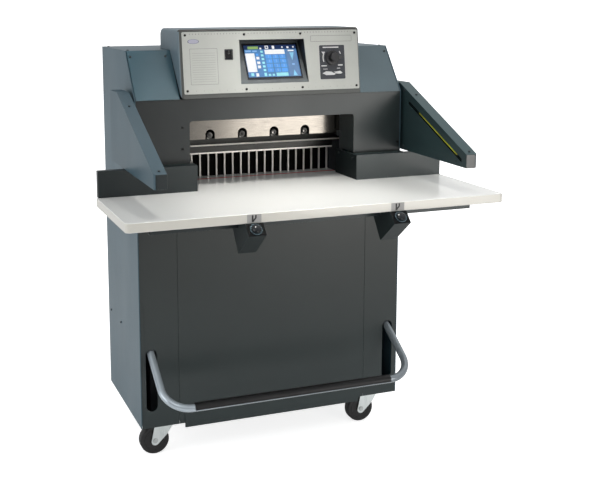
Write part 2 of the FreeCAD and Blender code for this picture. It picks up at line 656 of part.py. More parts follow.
lenses = []
for side, word in ((-1, "left"), (1, "right")):
    low, high = across(side, s.arm_inner, s.arm_outer)
    outer_side = side * s.arm_outer
    block = profile(f"arm_block_{word}", "yz", arm_outline, low, high,
                    (s.arm_corner, edge_at(x=outer_side, y=-s.arm_reach)))
    groove = profile(f"arm_groove_{word}", "yz",
                     [(-s.groove_start, along_arm(-s.groove_start, s.groove_drop)),
                      (-s.groove_end, along_arm(-s.groove_end, s.groove_drop)),
                      (-s.groove_end, along_arm(-s.groove_end, s.groove_drop + s.lens_slot)),
                      (-s.groove_start,
                       along_arm(-s.groove_start, s.groove_drop + s.lens_slot))],
                     *across(side, s.arm_inner - 1, s.arm_inner + s.lens_deep))
    spacers = [rod(f"arm_spacer_{word}_{n}", "x", (s.spacer_back, level), s.spacer_wide / 2,
                   *across(side, s.cab_half, s.arm_inner + 1))
               for n, level in enumerate((s.arm_low + 45, s.arm_high - 40))]
    finish(fuse(f"arm_{word}_welded", cut(f"arm_cut_{word}", block, groove), *spacers),
           f"arm_{word}")
    lens_front = -s.lens_start
    lens_back = -s.lens_end
    middle = s.groove_drop + s.lens_slot / 2
    lenses.append(profile(f"lens_{word}", "yz",
                          [(lens_front, along_arm(lens_front, middle - s.lens_high / 2)),
                           (lens_back, along_arm(lens_back, middle - s.lens_high / 2)),
                           (lens_back, along_arm(lens_back, middle + s.lens_high / 2)),
                           (lens_front, along_arm(lens_front, middle + s.lens_high / 2))],
                          *across(side, s.arm_inner + s.lens_deep - 3,
                                  s.arm_inner + s.lens_deep)))
finish(group("lens_pair", *lenses), "arm_lenses")

# Button housings under the table's front edge; the nose faces up and forward at 45 degrees.
nose_low = table_low - s.nose_drop
nose_back = -nose_reach + s.nose_drop
housing_outline = [(nose_back, table_low), (-nose_reach, nose_low),
                   (-nose_reach + s.housing_toe_back, s.housing_toe),
                   (-nose_reach + s.housing_long, table_low)]
gap = s.housing_wall
hollow_outline = [(nose_back + gap * 0.41, table_low - gap),
                  (-nose_reach + gap * 1.5, nose_low - gap * 0.1),
                  (-nose_reach + s.housing_toe_back + gap * 0.3, s.housing_toe + gap * 1.5),
                  (-nose_reach + s.housing_long - gap * 2, table_low - gap)]
button_back = -nose_reach + s.nose_drop / 2
button_level = table_low - s.nose_drop / 2
for side, word in ((-1, "left"), (1, "right")):
    near = s.housing_near
    far = s.housing_near + s.housing_wide
    middle = side * (near + far) / 2
    block = profile(f"housing_block_{word}", "yz", housing_outline, *across(side, near, far))
    hollow = profile(f"housing_hollow_{word}", "yz", hollow_outline,
                     *across(side, near + gap, far - gap))
    rail_notch = box(f"housing_notch_{word}", across(side, near - 1, far + 1),
                     (rail_front - s.seam, rail_back + s.seam),
                     (rail_low - s.seam, table_low + 1))
    ring = cut(f"button_ring_{word}",
               rod(f"ring_outer_{word}", "z", (0, 0), s.button_ring / 2, -1, 3),
               rod(f"ring_inner_{word}", "z", (0, 0), s.button_wide / 2 + 0.5, -2, 4))
    place(ring, (middle, button_back, button_level), FreeCAD.Vector(1, 0, 0), 45)
    stem_bore = rod(f"stem_bore_{word}", "z", (0, 0), (s.button_stem + s.running_fit) / 2,
                    -20, 20)
    tilted_bore = group(f"stem_bore_turned_{word}", stem_bore)
    place(tilted_bore, (middle, button_back, button_level), FreeCAD.Vector(1, 0, 0), 45)
    shell_part = cut(f"housing_shell_{word}", block, hollow, rail_notch, tilted_bore)
    finish(fuse(f"housing_{word}", shell_part, ring), f"button_housing_{word}")
    cap_low = s.button_travel + 0.4
    stem = rod(f"button_stem_{word}", "z", (0, 0), s.button_stem / 2, -12, cap_low + 1)
    cap = rod(f"button_cap_{word}", "z", (0, 0), s.button_wide / 2, cap_low, cap_low + 3)
    dome_radius = s.button_wide * 0.9
    rim = root_of(dome_radius * dome_radius - s.button_wide * s.button_wide / 4)
    ball = doc.addObject("Part::Sphere", f"button_ball_{word}")
    bind(ball, "Radius", dome_radius)
    place(ball, (0, 0, cap_low + 3 - rim))
    trim = rod(f"button_trim_{word}", "z", (0, 0), s.button_wide / 2, cap_low + 2.5, cap_low + 40)
    dome = common(f"button_dome_{word}", ball, trim)
    button = fuse(f"button_{word}", stem, cap, dome)
    place(button, (middle, button_back, button_level), FreeCAD.Vector(1, 0, 0), 45)
    finish(button, f"cut_button_{word}")

# Rear table cover: a tunnel over the rear table, closed at its far end.
tunnel_out = s.bed_half + s.cover_sheet
tunnel = box("tunnel_block", (-tunnel_out, tunnel_out), (s.rear_cover_start, s.rear_reach),
             (s.rear_cover_low, s.rear_cover_high))
tunnel_room = box("tunnel_room", (-s.bed_half, s.bed_half),
                  (s.rear_cover_start - 1, s.rear_reach - s.cover_sheet),
                  (s.rear_cover_low - 1, s.rear_cover_high - s.cover_sheet))
finish(cut("tunnel", tunnel, tunnel_room), "rear_table_cover")

# Knife: carrier with four arched pockets, blade behind it, bolts, slanted pull rod.
carrier_front = slot_rear + s.knife_clear
carrier_back = carrier_front + s.carrier_thick
carrier = box("carrier_bar", (-s.knife_half - s.knife_shift, s.knife_half - s.knife_shift),
              (carrier_front, carrier_back), (s.knife_low, s.knife_high))
arch_half = s.arch_wide / 2
arch_spots = [side * reach - s.arch_shift
              for side, reach in ((-1, s.arch_far), (-1, s.arch_near), (1, s.arch_near),
                                  (1, s.arch_far))]
pockets = []
bolts = []
for number, middle in enumerate(arch_spots):
    pockets.append(box(f"arch_run_{number}", (middle - arch_half, middle + arch_half),
                       (carrier_front - 1, carrier_front + s.arch_deep),
                       (s.knife_low - 1, s.arch_top - arch_half)))
    pockets.append(rod(f"arch_round_{number}", "y", (middle, s.arch_top - arch_half), arch_half,
                       carrier_front - 1, carrier_front + s.arch_deep))
    head = rod(f"bolt_head_{number}", "y", (middle, s.bolt_level), s.bolt_wide / 2,
               carrier_front + 3, carrier_front + s.arch_deep)
    socket = rod(f"bolt_socket_{number}", "y", (middle, s.bolt_level), s.bolt_wide / 4,
                 carrier_front + 2, carrier_front + 8)
    bolts.append(cut(f"bolt_{number}", head, socket))
finish(cut("carrier", carrier, *pockets), "knife_carrier")
finish(group("bolts", *bolts), "knife_bolts")
blade_back = carrier_back + s.blade_thick
finish(profile("blade", "yz",
               [(carrier_back, s.blade_high), (carrier_back, s.blade_edge + s.bevel_high),
                (blade_back, s.blade_edge), (blade_back, s.blade_high)],
               -s.blade_half - s.knife_shift, s.blade_half - s.knife_shift), "knife_blade")
shear_turn = -angle_of(s.shear_run, s.knife_drop)
knife_mid = (carrier_front + carrier_back) / 2
knife_rod = rod("knife_pull", "z", (0, 0), s.knife_rod_wide / 2, -s.knife_rod_long, 6)
clean_end = box("knife_pull_trim", (-60, 60), (-60, 60), (0, 60))
turned_rod = group("knife_pull_turned", knife_rod)
place(turned_rod, (0, 0, 0), FreeCAD.Vector(0, 1, 0), shear_turn)
finish(cut("knife_pull_rod", turned_rod, clean_end), "knife_rod",
       (-s.knife_rod_side, knife_mid, s.knife_low))

# Clamp: beam with wings in the posts, rods down to a yoke, ram into its cylinder.
clamp_back = s.clamp_front + s.clamp_thick
finish(profile("clamp", "xz",
               [(-s.clamp_half, s.clamp_low), (s.clamp_half, s.clamp_low),
                (s.clamp_half, s.clamp_step), (s.clamp_wing, s.clamp_step),
                (s.clamp_wing, s.clamp_high), (-s.clamp_wing, s.clamp_high),
                (-s.clamp_wing, s.clamp_step), (-s.clamp_half, s.clamp_step)],
               s.clamp_front, clamp_back), "clamp_beam")
clamp_mid = (s.clamp_front + clamp_back) / 2
pulls = [rod(f"clamp_pull_{n}", "z", (side * s.pull_side, clamp_mid), s.pull_wide / 2,
             s.yoke_low + 1, s.clamp_step) for n, side in enumerate((-1, 1))]
yoke = box("yoke", (-s.pull_side - s.pull_wide / 2, s.pull_side + s.pull_wide / 2),
           (clamp_mid - 12, clamp_mid + 12), (s.yoke_low, s.yoke_high))
ram = rod("ram", "z", (0, clamp_mid), s.ram_wide / 2, s.clamp_cylinder_high - 160,
          s.yoke_low + 1)
finish(fuse("clamp_frame", yoke, ram, *pulls), "clamp_pull_frame")

clamp_tube = cut("clamp_cylinder",
                 rod("clamp_cylinder_body", "z", (0, clamp_mid), s.clamp_cylinder_wide / 2,
                     base_top, s.clamp_cylinder_high),
                 rod("clamp_cylinder_bore", "z", (0, clamp_mid),
                     (s.ram_wide + s.running_fit) / 2, base_top + 60,
                     s.clamp_cylinder_high + 1))
knife_barrel = rod("knife_barrel", "z", (0, 0), s.knife_cylinder_wide / 2, -s.barrel_low,
                   -s.barrel_high)
knife_barrel_bore = rod("knife_barrel_bore", "z", (0, 0),
                        (s.knife_rod_wide + s.running_fit) / 2,
                        -s.barrel_low + s.barrel_floor, -s.barrel_high + 1)
barrel = cut("knife_barrel_tube", knife_barrel, knife_barrel_bore)
place(barrel, (-s.knife_rod_side, knife_mid, s.knife_low), FreeCAD.Vector(0, 1, 0), shear_turn)
foot_drop = s.knife_low - base_top
foot_shift = foot_drop * s.shear_run / s.knife_drop - s.knife_rod_side
foot_half = s.barrel_foot_half
barrel_foot = box("knife_barrel_foot", (foot_shift - foot_half - 20, foot_shift + foot_half),
                  (knife_mid - foot_half, knife_mid + foot_half),
                  (base_top, base_top + s.barrel_foot_high))
finish(group("cylinders", clamp_tube, fuse("knife_cylinder", barrel, barrel_foot)),
       "hydraulic_cylinders")

# Back gauge: comb of fingers on a bar, foot through the table's slot, nut on the lead screw.
bar_front = s.gauge_face + s.finger_deep
bar_back = bar_front + s.gauge_bar
gauge_low = s.table_top + s.gauge_lift
gauge_high = gauge_low + s.gauge_high
nut_back = bar_back + 7
comb = [box("gauge_bar_block", (-s.gauge_half, s.gauge_half), (bar_front, bar_back),
            (gauge_low, gauge_high)),
        box("gauge_foot", (-11, 11), (bar_front, nut_back), (s.screw_level + 10, gauge_low + 20)),
        box("gauge_nut", (-22, 22), (bar_front, nut_back),
            (s.screw_level - 20, s.screw_level + 20))]
finger_total = int(round(SIZES["finger_count"]))
for number in range(finger_total):
    middle = s.finger_pitch * (number - (finger_total - 1) / 2)
    comb.append(box(f"finger_{number}", (middle - s.finger_wide / 2, middle + s.finger_wide / 2),
                    (s.gauge_face, bar_front + 1), (gauge_low, gauge_high)))
nut_bore = rod("nut_bore", "y", (0, s.screw_level), (s.screw_wide + s.running_fit) / 2,
               bar_front - 1, nut_back + 1)
finish(cut("gauge", fuse("gauge_body", *comb), nut_bore), "gauge_comb")

screw_start = s.gauge_slot_start - 8
screw_end = s.motor_start - 1
thread = rod("gauge_thread", "y", (0, s.screw_level), s.screw_wide / 2, screw_start, screw_end)
journal = rod("gauge_journal", "y", (0, s.screw_level), s.journal_wide / 2,
              screw_start - 17, screw_end + 30)
finish(fuse("gauge_screw", thread, journal), "lead_screw")

flange = box("gauge_motor_flange", (-s.motor_half - 10, s.motor_half + 10),
             (s.motor_start, s.motor_start + 6), (s.screw_level - s.motor_half - 10, bed_low))
motor = box("gauge_motor_block", (-s.motor_half, s.motor_half),
            (s.motor_start + 5, s.motor_start + 5 + s.motor_long),
            (s.screw_level - s.motor_half, s.screw_level + s.motor_half))
motor_bore = rod("gauge_motor_bore", "y", (0, s.screw_level),
                 (s.journal_wide + s.running_fit) / 2, s.motor_start - 1, s.motor_start + 40)
finish(cut("gauge_drive", fuse("gauge_motor_body", flange, motor), motor_bore), "gauge_motor")

# Treadle: a bent tube drawn flat with its pivot at the origin, then sloped down to the front.
treadle_rise = s.pivot_level - s.treadle_level
treadle_run = s.pivot_back + s.treadle_reach
treadle_slope = angle_of(treadle_rise, treadle_run)
treadle_length = root_of(treadle_rise * treadle_rise + treadle_run * treadle_run)


def bent_bar(name, radius, start):
    """Two legs, two quarter bends and a crossbar of one radius."""
    bend = s.treadle_corner
    turn_at = bend - treadle_length
    parts = [rod(f"{name}_bar", "x", (-treadle_length, 0), radius,
                 bend - s.slot_side, s.slot_side - bend)]
    for side, word, angle in ((-1, "left", 180), (1, "right", -90)):
        parts.append(rod(f"{name}_leg_{word}", "y", (side * s.slot_side, 0), radius,
                         turn_at, start))
        bend_part = doc.addObject("Part::Torus", f"{name}_bend_{word}")
        bind(bend_part, "Radius1", bend)
        bind(bend_part, "Radius2", radius)
        bend_part.Angle3 = 90
        place(bend_part, (side * (s.slot_side - bend), turn_at, 0),
              FreeCAD.Vector(0, 0, 1), angle)
        parts.append(bend_part)
    return parts


hubs = []
bores = []
for side, word in ((-1, "left"), (1, "right")):
    hubs.append(rod(f"treadle_hub_{word}", "x", (0, 0), s.pivot_hub / 2,
                    *across(side, s.slot_side - 15, s.slot_side + 15)))
    bores.append(rod(f"treadle_bore_{word}", "x", (0, 0), (s.pivot_pin + s.running_fit) / 2,
                     *across(side, s.slot_side - 16, s.slot_side + 20)))
tube_outer = fuse("treadle_outer", *bent_bar("treadle", s.treadle_wide / 2, 0), *hubs)
tube_inner = fuse("treadle_inner",
                  *bent_bar("treadle_room", s.treadle_bore / 2, -s.pivot_hub / 2), *bores)
treadle = cut("treadle_bent", tube_outer, tube_inner)
place(treadle, (0, s.pivot_back, s.pivot_level), FreeCAD.Vector(1, 0, 0), treadle_slope)
finish(treadle, "treadle_tube")

sleeve = rod("grip_sleeve", "x", (-treadle_length, 0), s.grip_wide / 2,
             -s.grip_half, s.grip_half)
bind(sleeve, "Angle", s.grip_arc)
sleeve_room = rod("grip_room", "x", (-treadle_length, 0), s.treadle_wide / 2,
                  -s.grip_half - 1, s.grip_half + 1)
grip_part = cut("grip", sleeve, sleeve_room)
place(grip_part, (0, s.pivot_back, s.pivot_level), FreeCAD.Vector(1, 0, 0), treadle_slope)
finish(grip_part, "treadle_grip")

# Casters: fork with its axle, and wheel, under each corner.
wheel_radius = s.wheel_wide / 2
race_top = s.base_low - s.caster_plate - s.fork_gap
fork_top = race_top - 9
fork_low = fork_top - s.fork_plate
fork_out = s.fork_inner + s.fork_plate
for spot, (side, depth, trail) in (("front_left", (-1, s.caster_front, -1)),
                                   ("front_right", (1, s.caster_front, -1)),
                                   ("rear_left", (-1, s.caster_rear, 1)),
                                   ("rear_right", (1, s.caster_rear, 1))):
    middle = side * s.caster_side
    hub = middle + trail * s.caster_trail
    race = rod(f"race_{spot}", "z", (middle, depth), 27, fork_top - 1, race_top)
    nose = middle + trail * s.fork_nose
    tail = middle - trail * s.fork_tail
    web = box(f"fork_web_{spot}", (nose, tail) if trail < 0 else (tail, nose),
              (depth - fork_out, depth + fork_out), (fork_low, fork_top))
    # a leg widens upwards from the round end about the axle
    round_level = wheel_radius - s.fork_drop
    tip = hub + trail * s.fork_round
    legs = []
    for n, (near, far) in enumerate(((s.fork_inner, fork_out), (-fork_out, -s.fork_inner))):
        legs.append(profile(f"fork_leg_{spot}_{n}", "xz",
                            [(nose, fork_top), (tail, fork_top),
                             (tail + trail * 3, wheel_radius * 2 - 3),
                             (tail + trail * 22, wheel_radius + 18.5),
                             (hub - trail * s.fork_round * 0.72,
                              round_level - s.fork_round * 0.69),
                             (hub, round_level), (tip, round_level)],
                            depth + near, depth + far))
        legs.append(rod(f"fork_end_{spot}_{n}", "y", (hub, round_level), s.fork_round,
                        depth + near, depth + far))
    axle = rod(f"axle_{spot}", "y", (hub, wheel_radius), s.axle_wide / 2,
               depth - fork_out - 4, depth + fork_out + 4)
    king_bore = rod(f"king_bore_{spot}", "z", (middle, depth),
                    (s.kingpin_wide + s.running_fit) / 2, fork_low - 1, race_top + 1)
    fork = fuse(f"fork_{spot}_welded", race, web, axle, *legs)
    finish(cut(f"fork_{spot}", fork, king_bore), f"caster_fork_{spot}")
    tread = rod(f"tread_{spot}", "y", (hub, wheel_radius), wheel_radius,
                depth - s.wheel_tread / 2, depth + s.wheel_tread / 2)
    doc.recompute()
    rounded = doc.addObject("Part::Fillet", f"tread_round_{spot}")
    rounded.Base = tread
    rims = [n for n, edge in enumerate(tread.Shape.Edges, 1)
            if edge.BoundBox.YLength < 0.01]
    edge_size = float(sheet.get("wheel_edge"))
    rounded.Edges = [(n, edge_size, edge_size) for n in rims]
    wheel_bore = rod(f"wheel_bore_{spot}", "y", (hub, wheel_radius),
                     (s.axle_wide + s.running_fit) / 2, depth - s.wheel_tread,
                     depth + s.wheel_tread)
    finish(cut(f"wheel_{spot}", rounded, wheel_bore), f"wheel_{spot}")

# Oil tank with its pump motor, electrics box, mains inlet.
tank = box("tank_block", (s.tank_left, s.tank_right), (s.tank_front, s.tank_rear),
           (base_top, s.tank_high))
tank_room = box("tank_room", (s.tank_left + 3, s.tank_right - 3),
                (s.tank_front + 3, s.tank_rear - 3), (base_top + 3, s.tank_high - 3))
finish(cut("tank", tank, tank_room), "oil_tank")
pump_x = (s.tank_left + s.tank_right) / 2
pump_y = (s.tank_front + s.tank_rear) / 2
pump = rod("pump_body", "z", (pump_x, pump_y), s.pump_wide / 2, s.tank_high + 8, s.pump_high)
pump_foot = rod("pump_foot", "z", (pump_x, pump_y), s.pump_wide / 2 + 8, s.tank_high,
                s.tank_high + 9)
terminal = box("pump_terminal", (pump_x + s.pump_wide / 2 - 8, pump_x + s.pump_wide / 2 + 30),
               (pump_y - 35, pump_y + 35), (s.pump_high - 90, s.pump_high - 25))
finish(fuse("pump", pump, pump_foot, terminal), "pump_motor")
case = box("case_block", (-s.box_right, -s.box_left), (s.box_front, back_in),
           (s.box_low, s.box_high))
case_room = box("case_room", (-s.box_right + 2, -s.box_left - 2),
                (s.box_front + 2, back_in - 2), (s.box_low + 2, s.box_high - 2))
finish(cut("case", case, case_room), "control_box")
inlet = rod("inlet_body", "y", (-s.inlet_side, s.inlet_level), s.inlet_wide / 2,
            s.cab_deep, s.cab_deep + s.inlet_long)
inlet_room = rod("inlet_room", "y", (-s.inlet_side, s.inlet_level), s.inlet_bore / 2,
                 s.cab_deep + s.inlet_long - s.inlet_deep, s.cab_deep + s.inlet_long + 1)
finish(cut("inlet", inlet, inlet_room), "power_inlet")

# Screw heads of the console panel, face plate, side panels, fences and arms.
panel_screws = []
for n, across_at in enumerate((-300, -100, 98, 296)):
    for m, level in enumerate((s.panel_low + 10.5, s.panel_high - 10.5)):
        panel_screws.append(rod(f"panel_screw_{n}_{m}", "z", (across_at, level),
                                s.screw_head / 2, s.panel_thick,
                                s.panel_thick + s.screw_proud))
panel_set = group("panel_screws", *panel_screws)
place(panel_set, (0, -s.console_nose, console_foot), FreeCAD.Vector(1, 0, 0), panel_turn)
slope_screws = []
for side, reach in ((-1, s.console_left), (1, s.console_right)):
    for n, across_at in enumerate((reach + 19, sheet_in - 11)):
        slope_screws.append(rod(f"slope_screw_{side + 1}_{n}", "z",
                                (side * across_at, s.slope_screw), s.screw_head / 2, 0,
                                s.screw_proud))
slope_set = group("slope_screws", *slope_screws)
place(slope_set, (0, 0, slope_foot), FreeCAD.Vector(1, 0, 0),
      angle_of(s.slope_rise, s.slope_run))
heads = [panel_set, slope_set]
arm_turn = angle_of(s.arm_high - s.arm_tip, s.arm_brow + s.arm_reach)
for side, word in ((-1, "left"), (1, "right")):
    arm_set = group(f"arm_top_screws_{word}",
                    *[rod(f"arm_top_screw_{word}_{n}", "z",
                          (side * (s.arm_inner + s.arm_outer) / 2, along), s.screw_head / 2, 0,
                          s.screw_proud) for n, along in enumerate((18, 390))])
    place(arm_set, (0, -s.arm_reach, s.arm_tip), FreeCAD.Vector(1, 0, 0), arm_turn)
    heads.append(arm_set)
    for n, depth in enumerate((141, s.cab_deep - 38)):
        heads.append(rod(f"top_screw_{word}_{n}", "z", (side * (sheet_in - 11.5), depth),
                         s.screw_head / 2, head_top, head_top + s.screw_proud))
for n, (across_at, level) in enumerate(((-316, 1116), (-316, 1046), (461, 1031))):
    heads.append(rod(f"face_screw_{n}", "y", (across_at, level), s.screw_head / 2,
                     -s.screw_proud, 0))
for side, word in ((-1, "left"), (1, "right")):
    for n, depth in enumerate((425, 269)):
        heads.append(rod(f"side_screw_{word}_{n}", "x", (depth, 403), s.screw_head / 2,
                         *across(side, s.cab_half, s.cab_half + s.screw_proud)))
    for n, (depth, level) in enumerate(((92, fence_top - 9), (-14, fence_top - 15))):
        heads.append(rod(f"fence_screw_{word}_{n}", "x", (depth, level), s.screw_head / 2,
                         *across(side, s.fence_inner - s.screw_proud, s.fence_inner)))
    for n, (depth, level) in enumerate(((-6, 1208), (-350, 1013), (-5, 1016))):
        heads.append(rod(f"arm_screw_{word}_{n}", "x", (depth, level), s.screw_head / 2,
                         *across(side, s.arm_inner - s.screw_proud, s.arm_inner)))
finish(group("all_screws", *heads), "screws")

doc.recompute()

failed = [obj.Name for obj in doc.Objects if "Invalid" in obj.State or "Error" in obj.State]
assert not failed, failed
for piece in nodes:
    assert not piece.Shape.isNull(), piece.Label
    assert piece.Shape.isValid(), piece.Label
    assert piece.Shape.Volume > 0, piece.Label

os.makedirs("parts", exist_ok=True)
for piece in nodes:
    piece.Shape.exportStep(f"parts/{piece.Label}.step")
print(len(nodes), "pieces written")
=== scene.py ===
import json
import math

import bmesh
import bpy
from bpy.props import FloatProperty, FloatVectorProperty, IntProperty, PointerProperty
from mathutils import Matrix, Vector


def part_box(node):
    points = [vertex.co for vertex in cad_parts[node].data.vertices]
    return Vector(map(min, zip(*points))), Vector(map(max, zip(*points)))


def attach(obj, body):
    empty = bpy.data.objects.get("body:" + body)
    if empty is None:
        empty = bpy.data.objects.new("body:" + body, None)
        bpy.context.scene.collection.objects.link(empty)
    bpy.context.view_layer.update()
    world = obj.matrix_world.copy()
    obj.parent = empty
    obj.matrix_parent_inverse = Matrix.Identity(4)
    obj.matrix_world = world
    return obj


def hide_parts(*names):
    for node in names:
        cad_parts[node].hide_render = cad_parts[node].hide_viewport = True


bl_info = {
    "name": "Programmable Paper Cutter", "version": (1, 0, 0), "blender": (4, 5, 0),
    "location": "3D View > Sidebar > Paper Cutter",
    "description": "Dresses a hydraulic paper cutter with finishes and fine parts",
    "category": "Add Mesh",}

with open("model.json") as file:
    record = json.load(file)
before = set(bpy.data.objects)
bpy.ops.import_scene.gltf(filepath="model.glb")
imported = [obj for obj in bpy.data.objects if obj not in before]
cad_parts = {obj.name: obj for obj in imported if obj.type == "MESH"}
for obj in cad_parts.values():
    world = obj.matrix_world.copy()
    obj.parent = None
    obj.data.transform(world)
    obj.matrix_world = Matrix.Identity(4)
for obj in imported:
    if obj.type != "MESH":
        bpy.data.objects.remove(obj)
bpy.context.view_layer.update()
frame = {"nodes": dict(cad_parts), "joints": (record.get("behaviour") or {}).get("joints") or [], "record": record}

MM = 0.001
SHARP = math.radians(32)
NEAR_FLAT = math.radians(0.6)
SAME_SPOT = 1e-6
CAD_WELD = 2e-6
SKIN = 0.15 * MM
HANDS = ("left", "right")
CORNERS = ("front_left", "front_right", "rear_left", "rear_right")

# Screw heads between these distances from the middle plane look away from it.
PANEL_SCREWS = (472 * MM, 476.5 * MM)


def colour(name, text, value):
    return FloatVectorProperty(
        name=name, description=text, default=value, subtype="COLOR", size=3, min=0.0, max=1.0)


def length(name, text, value):
    return FloatProperty(
        name=name, description=text, default=value, unit="LENGTH", subtype="DISTANCE", min=0.0)


def power(name, text, value):
    return FloatProperty(name=name, description=text, default=value, min=0.0, unit="POWER")


def count(name, text, value):
    return IntProperty(name=name, description=text, default=value, min=6, max=60)


class CutterFinishes(bpy.types.PropertyGroup):
    """Colours of the finishes."""

    body: colour("Body paint", "Blue-grey powder coat of sides, slopes and arms",
                 (0.060, 0.108, 0.138))
    front: colour("Front paint", "Dark grey powder coat of the front covers", (0.014, 0.020, 0.021))
    console: colour("Console paint", "Grey of the console housing", (0.128, 0.176, 0.208))
    silver: colour("Panel silver", "Matt lacquer of the console's front plate", (0.44, 0.45, 0.425))
    table: colour("Table white", "Off-white of the table and the bed", (0.885, 0.885, 0.865))
    grey_tube: colour("Treadle grey", "Light grey gloss of the treadle tube", (0.26, 0.295, 0.325))
    red: colour("Cutting stick", "Red plastic of the cutting stick", (0.60, 0.035, 0.025))
    lens: colour("Light curtain lens", "Olive amber of the lens strips", (0.62, 0.60, 0.05))
    rubber: colour("Rubber", "Black of tyres and grip", (0.012, 0.012, 0.013))
    glow: colour("Display ground", "Blue of the lit display's ground", (0.085, 0.25, 0.54))
    keys: colour("Display keys", "Blue of the display's number keys", (0.10, 0.37, 0.88))
    mint: colour("Display mint", "Pale cyan of the display's command keys", (0.36, 0.84, 0.92))


class CutterSizes(bpy.types.PropertyGroup):
    """Sizes of the fine parts."""

    edge_round: length("Edge rounding", "Rounding of sheet metal edges", 0.8 * MM)
    table_round: length("Table rounding", "Rounding of the table's edge band", 2.2 * MM)
    rib_pitch: length("Grip rib pitch", "Distance between the ribs of the grip", 5 * MM)
    rib_deep: length("Grip rib depth", "Depth of the grooves of the grip", 0.9 * MM)
    mark_thick: length("Mark thickness", "Thickness of printed marks and labels", 0.15 * MM)
    groove_wide: length("Tyre groove", "Diameter of the fine ring round the wheel's side", 74 * MM)
    finger_pitch: length("Finger pitch", "Distance between the back gauge's fingers", 30 * MM)
    knob_flutes: count("Knob flutes", "Grooves round the knob's grip", 20)
    cover_gap: length("Cover seam", "Gap between the slope covers and the side panels", 1.4 * MM)
    nose_rise: length("Nose rise", "Height of the sloping nose of a button housing", 31 * MM)
    fin_count: count("Motor fins", "Cooling fins round the pump motor", 24)


class CutterStudio(bpy.types.PropertyGroup):
    """Camera and light."""

    place: FloatVectorProperty(
        name="Camera place", description="Where the camera stands",
        default=(-1.2204, -3.2905, 1.5253), subtype="TRANSLATION", unit="LENGTH", size=3)
    turn: FloatVectorProperty(
        name="Camera turn", description="Yaw to the right, pitch down, roll",
        default=(math.radians(20.19), math.radians(9.08), math.radians(-0.21)), subtype="EULER",
        unit="ROTATION", size=3)
    lens: FloatProperty(
        name="Lens", description="Focal length on a 36 mm sensor", default=60.79, min=1.0)
    shift: FloatVectorProperty(
        name="Shift", description="Lens shift across and up", default=(0.0795, -0.133), size=2)
    sky: FloatProperty(name="Room light", description="Strength of the even light from above",
                       default=1.0, min=0.0)
    high: power("High light", "Power of the light high in front", 8.0)
    left: power("Left light", "Power of the large light on the left", 32.0)
    front: power("Front light", "Power of the light beside the camera", 20.0)
    right: power("Right light", "Power of the light high on the right", 26.0)
    table: power("Table light", "Power of the narrow light on the table", 1.7)
    panel: power("Panel light", "Power of the light on the console", 0.48)


def finishes():
    return bpy.context.scene.cutter_finishes


def sizes():
    return bpy.context.scene.cutter_sizes


def studio():
    return bpy.context.scene.cutter_studio


class Tree:
    """A node tree that grows node by node."""

    def __init__(self, owner):
        owner.use_nodes = True
        self.nodes, self.links = owner.node_tree.nodes, owner.node_tree.links
        self.nodes.clear()

    def put(self, socket, value):
        """Link a node's output to a socket, or set the socket's own value."""
        if isinstance(value, bpy.types.NodeSocket):
            self.links.new(value, socket)
        else:
            socket.default_value = value

    def node(self, kind, **values):
        """A node whose sockets are given by name."""
        item = self.nodes.new("ShaderNode" + kind)
        for name, value in values.items():
            self.put(item.inputs[name.replace("_", " ")], value)
        return item

    def reckon(self, operation, *values):
        """One step of arithmetic."""
        item = self.nodes.new("ShaderNodeMath")
        item.operation = operation
        for socket, value in zip(item.inputs, values):
            self.put(socket, value)
        return item.outputs[0]

    def spread(self, source, low, high, start=0.3, end=0.7):
        """Bring a pattern into a range."""
        span = self.node(
            "MapRange", Value=source, From_Min=start, From_Max=end, To_Min=low, To_Max=high)
        return span.outputs["Result"]


class Finish(Tree):
    """One material whose detail is read from Object coordinates."""

    def __init__(self, name, **values):
        self.material = bpy.data.materials.new(name)
        super().__init__(self.material)
        self.shader = self.node("BsdfPrincipled", **values)
        self.node("OutputMaterial", Surface=self.shader.outputs["BSDF"])
        self.place = self.node("TexCoord").outputs["Object"]
        self.normal = None

    def grain(self, scale, detail=3.0, stretch=(1, 1, 1), roughness=0.55):
        """Noise over the surface, from 0 to 1."""
        mapping = self.node("Mapping", Scale=stretch, Vector=self.place)
        noise = self.node("TexNoise", Scale=scale, Detail=detail, Roughness=roughness,
                          Vector=mapping.outputs["Vector"])
        return noise.outputs["Fac"]

    def along(self, axis):
        """Place along one axis, in metres."""
        return self.node("SeparateXYZ", Vector=self.place).outputs[axis]

    def cells(self, scale):
        """Distance to scattered points."""
        return self.node("TexVoronoi", Scale=scale, Vector=self.place).outputs["Distance"]

    def lines(self, pitch, axis):
        """Fine parallel lines across one axis, from 0 to 1."""
        wave = self.node("TexWave", Scale=0.314159 / pitch, Vector=self.place)
        wave.bands_direction = axis
        return wave.outputs["Fac"]

    def blend(self, share, first, second):
        """Mix two colours, each a colour or a node's output."""
        mix = self.nodes.new("ShaderNodeMix")
        mix.data_type = "RGBA"
        self.put(mix.inputs[0], share)
        for slot, item in ((6, first), (7, second)):
            is_output = isinstance(item, bpy.types.NodeSocket)
            self.put(mix.inputs[slot], item if is_output else (*item, 1))
        return mix.outputs[2]

    def mottle(self, pattern, first, second):
        """A colour that wanders between two tints."""
        return self.blend(self.spread(pattern, 0.0, 1.0), first, second)

    def feed(self, socket, source):
        self.put(self.shader.inputs[socket], source)

    def relief(self, height, depth, strength=1.0):
        """Raise the surface by a pattern, in metres."""
        bump = self.node("Bump", Distance=depth, Strength=strength, Height=height)
        if self.normal is not None:
            self.put(bump.inputs["Normal"], self.normal)
        self.normal = bump.outputs["Normal"]
        self.feed("Normal", self.normal)


made = {}


def scaled(tint, factor):
    return tuple(min(1.0, part * factor) for part in tint)


